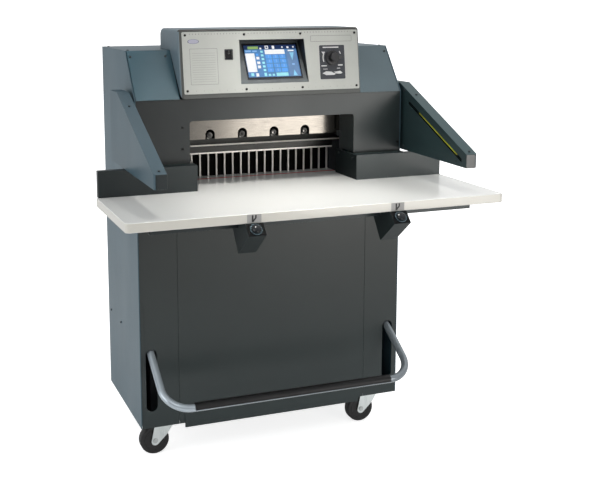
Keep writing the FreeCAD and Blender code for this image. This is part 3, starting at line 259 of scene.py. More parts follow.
def powder_coat(name, tint, rough=0.36, coat=0.0, peel=0.00007, shine=0.5,
                metallic=0.0, painted_light_right=None, painted_light_high=None):
    """Baked powder paint: orange peel, faint clouds in tone, rubbed and dusty patches.

    With a second tint it fades from the first towards the right or the top: painted light and shade on one paint.
    """
    paint = Finish(
        name, Specular_IOR_Level=shine, Metallic=metallic, Coat_Weight=coat, Coat_Roughness=0.2)
    clouds = paint.spread(paint.grain(5.5, 5.0), 0.0, 1.0)
    dust = paint.grain(2.3, 6.0, (1, 1, 0.45), 0.62)
    tone = paint.blend(clouds, scaled(tint, 0.93), scaled(tint, 1.07))
    # Painted light and shade: the tone fades to the second tint along X or Z.
    second = painted_light_right or painted_light_high
    if second:
        far = paint.blend(clouds, scaled(second, 0.93), scaled(second, 1.07))
        axis, start, end = ("X", -0.45, 0.35) if painted_light_right else ("Z", 0.15, 0.75)
        tone = paint.blend(paint.spread(paint.along(axis), 0.0, 1.0, start, end), tone, far)
    speck = paint.spread(paint.grain(900.0, 1.0), 0.0, 0.10, 0.55, 0.8)
    tone = paint.blend(speck, tone, scaled(tint, 1.9))
    paint.feed("Base Color", tone)
    paint.feed("Roughness", paint.spread(dust, rough - 0.045, rough + 0.06))
    paint.relief(paint.grain(420.0, 2.0), peel, 0.55)
    paint.relief(paint.grain(1700.0, 1.0), peel * 0.4, 0.4)
    made[name] = paint.material


def steel(name, tint, rough, along="Z", scratch=0.00001, metallic=1.0):
    """Ground or brushed metal with fine lines along one axis."""
    metal = Finish(name, Metallic=metallic)
    stretch = tuple(0.035 if axis == along else 1.0 for axis in "XYZ")
    grind = metal.grain(650.0, 2.0, stretch)
    tone = metal.mottle(metal.grain(9.0, 5.0), scaled(tint, 0.88), tint)
    metal.feed("Base Color", metal.blend(metal.spread(grind, 0.0, 0.25), tone, scaled(tint, 0.7)))
    metal.feed("Roughness", metal.spread(grind, rough - 0.05, rough + 0.08))
    metal.relief(grind, scratch, 0.6)
    made[name] = metal.material


def moulded(name, tint, rough=0.45, texture=0.00005, **values):
    """Moulded plastic or rubber with a fine skin texture."""
    skin = Finish(name, **values)
    skin.feed(
        "Base Color", skin.mottle(skin.grain(24.0, 4.0), scaled(tint, 0.86), scaled(tint, 1.14)))
    skin.feed("Roughness", skin.spread(skin.grain(60.0, 3.0), rough - 0.05, rough + 0.06))
    skin.relief(skin.cells(1100.0), texture, 0.5)
    made[name] = skin.material


def ribbed(name, tint):
    """Smooth rubber sleeve with shallow rings along its length."""
    skin = Finish(name, Specular_IOR_Level=0.3)
    skin.feed("Base Color", skin.mottle(skin.grain(24.0, 4.0), scaled(tint, 0.6), tint))
    skin.feed("Roughness", skin.spread(skin.grain(60.0, 3.0), 0.32, 0.45))
    skin.relief(skin.lines(sizes().rib_pitch, "X"), sizes().rib_deep * 0.1, 0.4)
    skin.relief(skin.cells(900.0), 0.00004, 0.4)
    made[name] = skin.material


def laminate(name, tint):
    """Smooth off-white table board: faint mottling, slight sheen."""
    board = Finish(name, Coat_Weight=0.5, Coat_Roughness=0.08)
    tone = board.mottle(board.grain(2.2, 3.0), scaled(tint, 0.985), tint)
    fleck = board.spread(board.grain(900.0, 1.0), 0.0, 0.03, 0.45, 0.8)
    board.feed("Base Color", board.blend(fleck, tone, scaled(tint, 0.6)))
    board.feed("Roughness", board.spread(board.grain(3.0, 2.0), 0.28, 0.295))
    board.relief(board.grain(2.5, 1.0), 0.00002, 0.2)
    made[name] = board.material


def cast(name, tint):
    """Painted casting with a coarse skin."""
    iron = Finish(name)
    skin = iron.grain(170.0, 4.0)
    iron.feed(
        "Base Color", iron.mottle(iron.grain(12.0, 5.0), scaled(tint, 0.82), scaled(tint, 1.12)))
    iron.feed("Roughness", iron.spread(skin, 0.48, 0.66))
    iron.relief(skin, 0.0004, 0.5)
    made[name] = iron.material


def glowing(name, tint, strength=0.9):
    """A lit field of the display: pixel rows and an uneven backlight under a clear front."""
    field = Finish(
        name, Coat_Weight=0.25, Coat_Roughness=0.08, Roughness=0.3, Emission_Strength=strength)
    uneven = field.grain(30.0, 3.0)
    tone = field.mottle(uneven, scaled(tint, 0.88), scaled(tint, 1.06))
    rows = field.spread(field.lines(0.0006, "Z"), 0.0, 0.10, 0.0, 1.0)
    field.feed("Emission Color", field.blend(rows, tone, scaled(tint, 0.6)))
    field.feed("Base Color", field.mottle(uneven, scaled(tint, 0.05), scaled(tint, 0.12)))
    made[name] = field.material


def paints():
    """Every finish by name, made on first use."""
    if not made:
        tints = finishes()
        make_coats(tints, tints.front)
        make_metals()
        make_plastics(tints)
    return made


def make_coats(tints, front):
    powder_coat("body_paint", tints.body, shine=0.35)
    # Slope covers: a darker, bluer copy of the body paint (painted shade) that turns greyer towards the right
    # (painted sheen).
    powder_coat("slope_paint", (0.046, 0.104, 0.134), shine=0.25, painted_light_right=(0.095, 0.128, 0.145))
    # Arms: a darker copy of the body paint, painted shade.
    powder_coat("arm_paint", scaled(tints.body, 0.87), shine=0.35)
    # Arms' top faces: a darker copy of the body paint, darker still towards the right, painted shade.
    powder_coat("arm_top_shade", scaled(tints.body, 0.75), shine=0.35, painted_light_right=(0.027, 0.058, 0.064))
    powder_coat("tip_paint", scaled(front, 0.6), 0.3, shine=0.8)
    # Arms' inner faces: a dark paint, painted shade.
    powder_coat("inner_shade_paint", (0.019, 0.037, 0.040))
    # Front covers: teal at the bottom, turning warm grey towards the top, painted warm light at the top.
    powder_coat("front_paint", (0.0155, 0.0265, 0.0280), 0.34, painted_light_high=(0.0190, 0.0240, 0.0225))
    # Head's face plate: darker at the left, lighter towards the right, painted shade and painted sheen.
    powder_coat("head_front", scaled(front, 0.5), 0.34, painted_light_right=scaled(front, 1.3))
    powder_coat("shade_paint", scaled(front, 0.7), 0.5, shine=0.1)
    powder_coat("dark_paint", front, 0.4, shine=0.2)
    # Fences, rails and the left arm's tip: very dark at the left, lighter towards the right, painted shade and
    # painted light.
    powder_coat("fence_paint", (0.0055, 0.0115, 0.0130), 0.34, painted_light_right=scaled(front, 1.85))
    powder_coat("console_paint", tints.console, 0.4)
    powder_coat("console_rim", (0.078, 0.082, 0.078), 0.4)
    powder_coat("console_brow", (0.032, 0.033, 0.031), 0.45)
    powder_coat("panel_silver", tints.silver, 0.34, peel=0.00002, metallic=0.35)
    # Treadle tube: lighter at the left, darker towards the right, a painted highlight at the left.
    powder_coat("treadle_paint", scaled(tints.grey_tube, 1.8), 0.22, 0.3, 0.00003, metallic=0.5,
                painted_light_right=scaled(tints.grey_tube, 0.85))
    laminate("table_finish", tints.table)
    laminate("edge_band", (0.68, 0.66, 0.60))


def make_metals():
    cast("cast_frame", (0.045, 0.052, 0.055))
    cast("motor_alloy", (0.30, 0.31, 0.32))
    steel("hidden_steel", (0.34, 0.35, 0.36), 0.5, "X")
    steel("ground_steel", (0.60, 0.60, 0.59), 0.27)
    steel("polished_steel", (0.195, 0.180, 0.160), 0.16, "X", 0.000003)
    # Near white and only half metallic, so it stays bright whatever it mirrors: ground steel with a painted glint.
    steel("steel_glint", (0.92, 0.87, 0.82), 0.35, "X", metallic=0.4)
    # Near-black steel for the clamp beam and blade: steel with painted shade and painted dark reflection.
    steel("steel_in_shade", (0.040, 0.040, 0.039), 0.3, "X")
    steel("bolt_steel", (0.08, 0.078, 0.075), 0.3, metallic=0.7)
    steel("nut_steel", (0.62, 0.65, 0.65), 0.4)
    # Near white and only half metallic: machined fingers with a painted glint.
    steel("comb_alloy", (0.95, 0.91, 0.86), 0.42, metallic=0.35)
    steel("zinc", (0.84, 0.89, 0.89), 0.30)
    steel("badge_face", (0.42, 0.42, 0.52), 0.35, "X")
    steel("screw_paint", (0.05, 0.06, 0.065), 0.45, "Z", 0.00002, 0.5)
    steel("black_screw", (0.010, 0.010, 0.010), 0.5, "Z", 0.00002, 0.4)
    steel("button_ring", (0.10, 0.14, 0.16), 0.2, "Z", 0.000004, 0.8)


def make_plastics(tints):
    # Near black with almost no reflection: painted shade for pockets, grooves and the gauge bar.
    moulded("painted_shade_black", (0.0035, 0.0035, 0.0035), 0.65, 0.00004, Specular_IOR_Level=0.04)
    moulded("badge_rim", (0.035, 0.035, 0.09), 0.3)
    moulded("bezel_plastic", (0.12, 0.135, 0.14), 0.42)
    moulded("bezel_shade", (0.008, 0.009, 0.010), 0.4)
    moulded("dial_grey", (0.026, 0.029, 0.038), 0.38)
    moulded("screen_face", (0.012, 0.014, 0.022), 0.16, 0.000004, Coat_Weight=0.5)
    for name, tint in (("grey", (0.14, 0.14, 0.135)), ("pale", (0.22, 0.22, 0.21)),
                       ("white", (0.62, 0.62, 0.62)), ("black", (0.012, 0.012, 0.012))):
        moulded("print_" + name, tint, 0.5, 0.00001)
    moulded("sticker_grey", (0.36, 0.355, 0.35), 0.45, 0.00001)
    moulded("lens_yellow", tints.lens, 0.2, 0.00001, Coat_Weight=0.6)
    moulded("stick_red", tints.red, 0.4)
    moulded("black_plastic", (0.016, 0.016, 0.018), 0.42)
    moulded("black_gloss", (0.006, 0.006, 0.007), 0.25, 0.000005, Specular_IOR_Level=0.2)
    moulded("button_gloss", (0.002, 0.004, 0.006), 0.10, 0.000005)
    moulded("nose_black", (0.004, 0.0045, 0.005), 0.5, 0.00001, Specular_IOR_Level=0.08)
    moulded("tyre_black", tints.rubber, 0.5, 0.0001)
    ribbed("grip_rubber", tints.rubber)
    for name, tint in (
            ("ground", tints.glow), ("navy", (0.015, 0.035, 0.11)), ("green", (0.32, 0.50, 0.16)),
            ("tab", (0.30, 0.55, 0.90)), ("keys", tints.keys), ("mint", tints.mint),
            ("pale", (0.14, 0.27, 0.50)), ("arrow", (0.28, 0.66, 0.92))):
        glowing("glow_" + name, tint)
    glowing("glow_white", (0.95, 0.97, 1.0), 0.95)


def frame_on(origin, across, upward):
    """A frame with x across, y up and z outwards."""
    across = Vector(across).normalized()
    outward = across.cross(Vector(upward)).normalized()
    upward = outward.cross(across)
    turn = Matrix((across, upward, outward)).transposed().to_4x4()
    return Matrix.Translation(origin) @ turn


def face_frame(node, towards):
    """Frame on the node's largest flat face that looks the given way, at its low corner."""
    mesh = frame["nodes"][node].data
    towards = Vector(towards).normalized()
    facing = [face for face in mesh.polygons if face.normal.dot(towards) > 0.9]
    lead = max(facing, key=lambda face: face.area).normal.copy()
    flat = [face for face in facing if face.normal.dot(lead) > 0.9999]
    far = max(face.center.dot(lead) for face in flat)
    flat = [face for face in flat if face.center.dot(lead) > far - 0.1 * MM]
    across = Vector((0, 0, 1)).cross(lead).normalized()
    upward = lead.cross(across)
    spots = [mesh.vertices[spot].co for face in flat for spot in face.vertices]
    left = min(spot.dot(across) for spot in spots)
    right = max(spot.dot(across) for spot in spots)
    low = min(spot.dot(upward) for spot in spots)
    high = max(spot.dot(upward) for spot in spots)
    origin = across * left + upward * low + lead * far
    return frame_on(origin, across, upward), right - left, high - low


def panel_frame():
    """Frame on the console's front plate: x from the middle, y up from the housing's foot."""
    matrix, _, _ = face_frame("control_panel", (0, -1, 0.1))
    foot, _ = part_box("console_shell")
    rise = (matrix.translation.z - foot.z) / matrix.col[1].z
    return matrix @ Matrix.Translation((-matrix.translation.x, -rise, 0))


def joint_place(name):
    """Where a joint of the frame stands."""
    return Vector(next(joint["pos_m"] for joint in frame["joints"] if joint["name"] == name))


def join(bm, part, matrix=None):
    """Add a finished part to a larger mesh."""
    if matrix is not None:
        part.transform(matrix)
    passing = bpy.data.meshes.new("passing")
    part.to_mesh(passing)
    part.free()
    bm.from_mesh(passing)
    bpy.data.meshes.remove(passing)
    return bm


def mm(*points):
    """Points given in millimetres."""
    return [tuple(part * MM for part in point) for point in points]


def chamfer(part, geom, width, segments, affect="EDGES", clamp=False):
    """Bevel the given edges or corners."""
    bmesh.ops.bevel(part, geom=geom, offset=width, offset_type="OFFSET", affect=affect,
                    segments=segments, profile=0.5, material=-1, clamp_overlap=clamp)


def soften(part, width, segments=2, pick=None):
    """Bevel the sharp edges."""
    sharp = [run for run in part.edges if len(run.link_faces) == 2
             and run.calc_face_angle(0.0) > SHARP and (pick is None or pick(run))]
    chamfer(part, sharp, width, segments, clamp=True)
    return part


def lift(part, depth):
    """Thicken flat faces upwards into a closed plate."""
    grown = bmesh.ops.extrude_face_region(part, geom=part.faces[:])["geom"]
    upper = [item for item in grown if isinstance(item, bmesh.types.BMVert)]
    bmesh.ops.translate(part, verts=upper, vec=(0, 0, depth))
    return part


def block(low, high, rounding=0.0):
    """A box between two corners with rounded edges."""
    part = bmesh.new()
    low, high = Vector(low), Vector(high)
    matrix = Matrix.Translation((low + high) / 2) @ Matrix.Diagonal((*(high - low), 1))
    bmesh.ops.create_cube(part, size=1, matrix=matrix)
    if rounding:
        soften(part, rounding)
    return part


def disc(radius, low, high, steps=40, rounding=0.0, segments=3):
    """A round along z with a rounded upper rim."""
    part = bmesh.new()
    bmesh.ops.create_cone(
        part, cap_ends=True, segments=steps, radius1=radius, radius2=radius, depth=high - low,
        matrix=Matrix.Translation((0, 0, (low + high) / 2)))
    if rounding:
        soften(part, rounding, segments,
               lambda run: min(spot.co.z for spot in run.verts) > high - SAME_SPOT)
    return part


def flat(width, height, level, radius=0.0, middle=(0, 0), steps=4):
    """One flat face with round corners."""
    part = bmesh.new()
    matrix = Matrix.Translation((*middle, level)) @ Matrix.Diagonal((width, height, 1, 1))
    bmesh.ops.create_grid(part, x_segments=1, y_segments=1, size=0.5, matrix=matrix)
    if radius:
        chamfer(part, part.verts[:], radius, steps, "VERTICES")
    return part


def plate(width, height, low, high, radius=0.0, middle=(0, 0)):
    """A plate with round corners between two heights."""
    return lift(flat(width, height, low, radius, middle), high - low)


def rim(width, height, wall, low, high, radius=0.0, middle=(0, 0)):
    """A flat frame with round corners between two heights."""
    part = flat(width, height, low, radius, middle)
    centre = part.faces[:]
    bmesh.ops.inset_region(
        part, faces=centre, thickness=wall, use_even_offset=True, use_boundary=True)
    bmesh.ops.delete(part, geom=centre, context="FACES_ONLY")
    return lift(part, high - low)


def drawn(points, low, high):
    """A small outline made a plate between two heights."""
    part = bmesh.new()
    part.faces.new([part.verts.new((x, y, low)) for x, y in points])
    return lift(part, high - low)


def arc(radius, wide, start, sweep, low, high, steps=24):
    """A curved band about the origin between two heights."""
    part = bmesh.new()
    ends = [part.verts.new((radius + side * wide / 2, 0, low)) for side in (-1, 1)]
    run = part.edges.new(ends)
    bmesh.ops.rotate(part, cent=(0, 0, 0), matrix=Matrix.Rotation(start, 3, "Z"), verts=ends)
    bmesh.ops.spin(
        part, geom=[*ends, run], cent=(0, 0, 0), axis=(0, 0, 1), angle=sweep, steps=steps)
    return lift(part, high - low)


def ring(radius, wide, low, high, steps=24):
    """A closed band about the origin between two heights."""
    part = arc(radius, wide, 0, math.tau, low, high, steps)
    bmesh.ops.remove_doubles(part, verts=part.verts[:], dist=SAME_SPOT)
    return part


def lathe(outline, steps=48, closed=False):
    """Turn an outline of (radius, height) points about z."""
    part = bmesh.new()
    spots = [part.verts.new((radius, 0, height)) for radius, height in outline]
    following = spots[1:] + spots[:1] if closed else spots[1:]
    runs = [part.edges.new(pair) for pair in zip(spots, following)]
    bmesh.ops.spin(part, geom=spots + runs, cent=(0, 0, 0), axis=(0, 0, 1), angle=math.tau,
                   steps=steps, use_merge=True)
    bmesh.ops.remove_doubles(part, verts=part.verts[:], dist=SAME_SPOT)
    bmesh.ops.recalc_face_normals(part, faces=part.faces[:])
    return part


def socket_head(radius, height, steps=24):
    """A round screw head with a hexagon socket, its seat on the origin."""
    part = disc(radius, 0, height, steps, radius * 0.22, segments=2)
    lid = max(part.faces, key=lambda face: face.calc_center_median().z)
    edge = lid.edges[:]
    bmesh.ops.delete(part, geom=[lid], context="FACES_ONLY")
    six = bmesh.ops.create_circle(
        part, cap_ends=False, segments=6, radius=radius * 0.52,
        matrix=Matrix.Translation((0, 0, height)))["verts"]
    sides = list({run for spot in six for run in spot.link_edges})
    bmesh.ops.bridge_loops(part, edges=edge + sides)
    sunk = bmesh.ops.extrude_edge_only(part, edges=sides)["geom"]
    lower = [item for item in sunk if isinstance(item, bmesh.types.BMVert)]
    bmesh.ops.translate(part, verts=lower, vec=(0, 0, -height * 0.6))
    bmesh.ops.contextual_create(part, geom=lower)
    return part


def numeral(text, height, low, high):
    """A digit as a thin plate, centred."""
    curve = bpy.data.curves.new("numeral", "FONT")
    curve.body = text
    curve.size = height * 1.4
    curve.align_x = "CENTER"
    curve.align_y = "CENTER"
    holder = bpy.data.objects.new("numeral", curve)
    passing = bpy.data.meshes.new_from_object(holder)
    part = bmesh.new()
    part.from_mesh(passing)
    bpy.data.objects.remove(holder)
    bpy.data.curves.remove(curve)
    bpy.data.meshes.remove(passing)
    bmesh.ops.translate(part, verts=part.verts[:], vec=(0, 0, low))
    return lift(part, high - low)


def copy_of(node):
    """A merged copy of a CAD node's mesh."""
    part = bmesh.new()
    part.from_mesh(frame["nodes"][node].data)
    bmesh.ops.remove_doubles(part, verts=part.verts[:], dist=CAD_WELD)
    flatten(part)
    return part


def flatten(part):
    """Join the triangles of each flat face."""
    bmesh.ops.dissolve_limit(part, angle_limit=NEAR_FLAT, verts=part.verts[:], edges=part.edges[:])


def islands(node):
    """The seat, outward direction, radius and height of every head in a node."""
    part = copy_of(node)
    heads = []
    seen = set()
    for start in part.verts:
        if start in seen:
            continue
        group, waiting = [], [start]
        seen.add(start)
        while waiting:
            spot = waiting.pop()
            group.append(spot)
            for run in spot.link_edges:
                other = run.other_vert(spot)
                if other not in seen:
                    seen.add(other)
                    waiting.append(other)
        caps = {face for spot in group for face in spot.link_faces}
        outward = max(caps, key=lambda face: face.calc_area()).normal.copy()
        centre = sum((spot.co for spot in group), Vector()) / len(group)
        if abs(outward.x) > 0.9:
            on_panel = PANEL_SCREWS[0] < abs(centre.x) < PANEL_SCREWS[1]
            outward.x = math.copysign(outward.x, centre.x if on_panel else -centre.x)
        elif outward.dot(Vector((0, -1, 1))) < 0:
            outward.negate()
        levels = [(spot.co - centre).dot(outward) for spot in group]
        aside = [(spot.co - centre - outward * level).length for spot, level in zip(group, levels)]
        heads.append(
            (centre + outward * min(levels), outward, max(aside), max(levels) - min(levels)))
    part.free()
    return heads


def upright_on(seat, outward):
    """A frame on a seat whose z looks outwards."""
    return Matrix.Translation(seat) @ outward.to_track_quat("Z", "Y").to_matrix().to_4x4()


def piece(name, bm, finish, body, replaces=(), place=None):
    """Turn a bmesh into a shown piece that rides a body."""
    if place is not None:
        bm.transform(place)
    bmesh.ops.recalc_face_normals(bm, faces=bm.faces[:])
    for face in bm.faces:
        face.smooth = True
    for run in bm.edges:
        run.smooth = not (len(run.link_faces) == 2 and run.calc_face_angle(0.0) > SHARP)
    mesh = bpy.data.meshes.new(name)
    bm.to_mesh(mesh)
    bm.free()
    obj = bpy.data.objects.new(name, mesh)
    bpy.context.scene.collection.objects.link(obj)
    mesh.materials.append(paints()[finish])
    even = obj.modifiers.new("even_shading", "WEIGHTED_NORMAL")
    even.keep_sharp = True
    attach(obj, body)
    if replaces:
        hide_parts(*replaces)


def dress(finish, *nodes, rounding=None):
    """Give CAD nodes their finish and soften their edges."""
    for name in nodes:
        node = frame["nodes"][name]
        node.data.materials.clear()
        node.data.materials.append(paints()[finish])
        if rounding != 0:
            weld = node.modifiers.new("weld", "WELD")
            weld.merge_threshold = CAD_WELD
            bevel = node.modifiers.new("edge", "BEVEL")
            bevel.width = rounding or sizes().edge_round
            bevel.segments = 2
            bevel.limit_method = "ANGLE"
            bevel.angle_limit = SHARP
            bevel.use_clamp_overlap = True


def body_of(node):
    return next(body for body, nodes in frame["record"]["behaviour"]["bodies"].items()
                if node in nodes)


def recast(finish, *nodes, rounding=None, segments=2, change=None):
    """Replace CAD nodes by merged copies with rounded edges and smooth curves."""
    for node in nodes:
        part = copy_of(node)
        if change:
            change(part)
        if rounding != 0:
            soften(part, rounding or sizes().edge_round, segments)
        piece(node + "_finished", part, finish, body_of(node), (node,))


def refinish(node, finish, test):
    """Give the faces of a finished piece that pass a test another finish."""
    mesh = bpy.data.objects[node + "_finished"].data
    mesh.materials.append(paints()[finish])
    for face in mesh.polygons:
        if test(face):
            face.material_index = len(mesh.materials) - 1


def shade_lining(name, node, finish, test):
    """A thin skin over a pocket's floor and the walls beside it, which paints the shade in the recess."""
    part = copy_of(node)
    floor = [face for face in part.faces if test(face.calc_center_median(), face.normal)]
    kept = set(floor) | {face for base in floor for run in base.edges for face in run.link_faces}
    bmesh.ops.delete(part, geom=[face for face in part.faces if face not in kept], context="FACES")
    bmesh.ops.solidify(part, geom=part.faces[:], thickness=-SKIN)
    piece(name, part, finish, body_of(node))


class CUTTER_OT_studio(bpy.types.Operator):
    """Make the camera, the floor, the room light and the lamps"""

    bl_idname = "cutter.studio"
    bl_label = "Studio"

    def execute(self, context):
        settings = studio()
        scene = context.scene
        scene.view_settings.view_transform = "Standard"
        yaw, pitch, roll = settings.turn
        forward = Vector(
            (math.cos(pitch) * math.sin(yaw), math.cos(pitch) * math.cos(yaw), -math.sin(pitch)))
        right = Vector((math.cos(yaw), -math.sin(yaw), 0))
        upward = right.cross(forward)
        across = right * math.cos(roll) + upward * math.sin(roll)
        upward = upward * math.cos(roll) - right * math.sin(roll)
        camera_data = bpy.data.cameras.new("camera")
        camera_data.lens = settings.lens
        camera_data.sensor_width = 36
        camera_data.shift_x, camera_data.shift_y = settings.shift
        camera_data.clip_start, camera_data.clip_end = 0.05, 60
        camera = bpy.data.objects.new("camera", camera_data)
        turn = Matrix((across, upward, -forward)).transposed().to_4x4()
        camera.matrix_world = Matrix.Translation(settings.place) @ turn
        scene.collection.objects.link(camera)
        scene.camera = camera
        self.floor(scene)
        self.room(scene, settings)
        white = (1, 1, 1)
        for name, place, aim, size, power, tint, spread in (
                ("high_light", (-1.6, -2.6, 3.0), (0, -0.2, 1.0), (1.4, 1.4), settings.high, white,
                180), ("table_light", (0.05, -0.75, 3.0), (0.0, -0.42, 0.93), (0.4, 0.3),
                settings.table, (1.0, 0.98, 0.93), 36), ("panel_light", (0.8, -3.0, 1.85),
                (-0.1, -0.2, 1.32), (0.4, 0.4), settings.panel, (1.0, 0.99, 0.95), 60),
                ("left_light", (-3.4, -0.6, 1.4), (0, 0, 0.75), (2.0, 2.0), settings.left, white,
                180), ("front_light", (1.56, -3.0, 0.8), (0.1, -0.1, 1.1), (1.2, 1.0),
                settings.front, (1.0, 0.97, 0.93), 180), ("right_light", (2.2, -0.4, 3.0),
                (0.2, -0.3, 0.9), (1.4, 1.4), settings.right, (1.0, 0.99, 0.96), 180)):
            self.lamp(scene, name, place, aim, size, power, tint, spread)
        scene.objects["right_light"].visible_glossy = False
        return {"FINISHED"}

    def lamp(self, scene, name, place, aim, size, power, tint, spread):
        data = bpy.data.lights.new(name, "AREA")
        data.shape = "RECTANGLE"
        data.size, data.size_y = size
        data.energy = power
        data.color = tint
        data.spread = math.radians(spread)
        lamp = bpy.data.objects.new(name, data)
        lamp.location = place
        lamp.rotation_mode = "QUATERNION"
        lamp.rotation_quaternion = (Vector(aim) - Vector(place)).to_track_quat("-Z", "Y")
        scene.collection.objects.link(lamp)

    def floor(self, scene):
        bm = bmesh.new()
        bmesh.ops.create_circle(bm, cap_ends=True, segments=64, radius=14)
        mesh = bpy.data.meshes.new("floor")
        bm.to_mesh(mesh)
        bm.free()
        floor = bpy.data.objects.new("floor", mesh)
        scene.collection.objects.link(floor)
        paper = Finish("floor_paper", Roughness=0.9, Emission_Color=(1, 1, 1, 1))
        paper.feed(
            "Base Color", paper.mottle(paper.grain(2.0, 4.0), (0.80, 0.80, 0.80),
            (0.82, 0.82, 0.82)))
        path = paper.node("LightPath").outputs
        reach = paper.nodes.new("ShaderNodeVectorMath")
        reach.operation = "LENGTH"
        paper.put(reach.inputs[0], paper.place)
        far = paper.spread(reach.outputs["Value"], 0.76, 1.0, 0.9, 2.4)
        glow = paper.reckon("MULTIPLY", path["Is Camera Ray"], far)
        paper.feed("Emission Strength",
                   paper.reckon("MULTIPLY_ADD", path["Is Glossy Ray"], 0.12, glow))
        mesh.materials.append(paper.material)

    def room(self, scene, settings):
        scene.world = bpy.data.worlds.new("room")
        room = Tree(scene.world)
        split = room.node("SeparateXYZ", Vector=room.node("TexCoord").outputs["Generated"])
        path = room.node("LightPath").outputs
        even = room.node("Background", Color=(0.97, 0.99, 1.0, 1),
                         Strength=room.spread(split.outputs["Z"], 0.0, settings.sky, 0.0, 1.0))
        level = path["Is Camera Ray"]
        for axis, start, end, strength in (
                ("Y", 0.2, 0.8, 0.55), ("Y", -0.2, -0.8, 0.25), ("Z", 0.4, 0.9, 0.8),
                ("X", 0.3, 0.9, 0.6)):
            side = room.spread(split.outputs[axis], 0.0, strength, start, end)
            level = room.reckon("ADD", level, side)
        white = room.node("Background", Color=(1, 1, 1, 1), Strength=level)
        seen = room.reckon("MAXIMUM", path["Is Camera Ray"], path["Is Glossy Ray"])
        seen = room.reckon("MAXIMUM", seen, path["Is Transmission Ray"])
        mix = room.nodes.new("ShaderNodeMixShader")
        for socket, source in zip(mix.inputs, (seen, even.outputs[0], white.outputs[0])):
            room.put(socket, source)
        room.node("OutputWorld", Surface=mix.outputs[0])


class CUTTER_OT_cabinet(bpy.types.Operator):
    """Finish the cabinet's covers and fix a bare plate on its back"""

    bl_idname = "cutter.cabinet"
    bl_label = "Cabinet"

    def execute(self, context):
        dress("body_paint", "side_panel_left", "side_panel_right", "rear_panel", "rear_table_cover")
        dress("front_paint", "front_panel", "corner_panel_left", "corner_panel_right", "kick_plate")
        dress("hidden_steel", "base_plate")
        recast("black_plastic", "power_inlet", rounding=1.2 * MM)
        back = frame_on((330 * MM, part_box("rear_panel")[1].y, 360 * MM), (-1, 0, 0), (0, 0, 1))
        thick, rivet_x, rivet_y = 0.8 * MM, 39 * MM, 21.5 * MM
        bare = soften(plate(90 * MM, 55 * MM, 0, thick, 3 * MM), 0.25 * MM)
        piece("rear_bare_plate", bare, "panel_silver", "machine", place=back)
        rivets = bmesh.new()
        for x in (-rivet_x, rivet_x):
            for y in (-rivet_y, rivet_y):
                spot = Matrix.Translation((x, y, thick))
                join(rivets, disc(2 * MM, 0, 1 * MM, 16, 0.7 * MM), back @ spot)
        piece("rear_plate_rivets", rivets, "zinc", "machine")
        return {"FINISHED"}


class CUTTER_OT_table(bpy.types.Operator):
    """Finish the table, the bed, the fences and the rail under the table"""

    bl_idname = "cutter.table"
    bl_label = "Table"

    def execute(self, context):
        recast("table_finish", "front_table", rounding=sizes().table_round, segments=3)
        refinish("front_table", "edge_band", lambda face: abs(face.normal.z) < 0.5)
        recast("table_finish", "machine_bed", rounding=0.5 * MM)
        recast("stick_red", "cutting_stick", rounding=0.4 * MM)
        # The fence paint is darker at the left and lighter at the right: painted shade and painted light.
        recast("fence_paint", "table_rails", "side_fence_left", "side_fence_right")
        refinish("side_fence_right", "shade_paint", lambda face: face.normal.x < -0.7)
        stickers, marks = bmesh.new(), bmesh.new()
        table_low, table_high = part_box("front_table")
        thick = sizes().mark_thick
        button_x = 232 * MM
        for side in (-1, 1):
            place = frame_on((side * button_x, table_low.y, (table_low.z + table_high.z) / 2),
                             (1, 0, 0), (0, 0, 1))
            join(stickers, plate(44 * MM, 24 * MM, 0, thick, 1.5 * MM), place)
            chevron = mm((-7.5, 10), (-2.4, 10), (-2.4, -3), (2.6, 2.6), (2.6, 10), (7.2, 10),
                         (7.2, 1), (-2.6, -10.8), (-7.5, -10.8))
            join(marks, drawn(chevron, thick, thick * 1.8), place)
        piece("button_stickers", stickers, "sticker_grey", "machine")
        piece("button_chevrons", marks, "print_black", "machine")
        return {"FINISHED"}


class CUTTER_OT_head(bpy.types.Operator):
    """Finish the head's covers and the console housing"""

    bl_idname = "cutter.head"
    bl_label = "Head"

    def execute(self, context):
        gap = sizes().cover_gap
        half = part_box("slope_covers")[1].x

        def draw_in(part):
            for spot in part.verts:
                if abs(spot.co.x) > half - MM:
                    spot.co.x -= math.copysign(gap, spot.co.x)

        recast("head_front", "face_plate")
        recast("slope_paint", "slope_covers", change=draw_in)
        recast("body_paint", "top_cover", change=draw_in)
        recast("console_paint", "console_shell", rounding=1.2 * MM)
        recast("panel_silver", "control_panel", rounding=0.4 * MM)
        recast("bezel_plastic", "display_bezel", rounding=0.8 * MM)
        panel = panel_frame().inverted()
        refinish("console_shell", "console_rim",
                 lambda face: (panel @ face.center).z > -30 * MM and abs(face.normal.x) < 0.6)
        refinish("console_shell", "console_brow",
                 lambda face: (panel @ face.center).z > -30 * MM and face.normal.z > 0.3)
        turn = panel.to_3x3()
        refinish("display_bezel", "bezel_shade", lambda face: min((turn @ face.normal).xy) < -0.5)
        return {"FINISHED"}


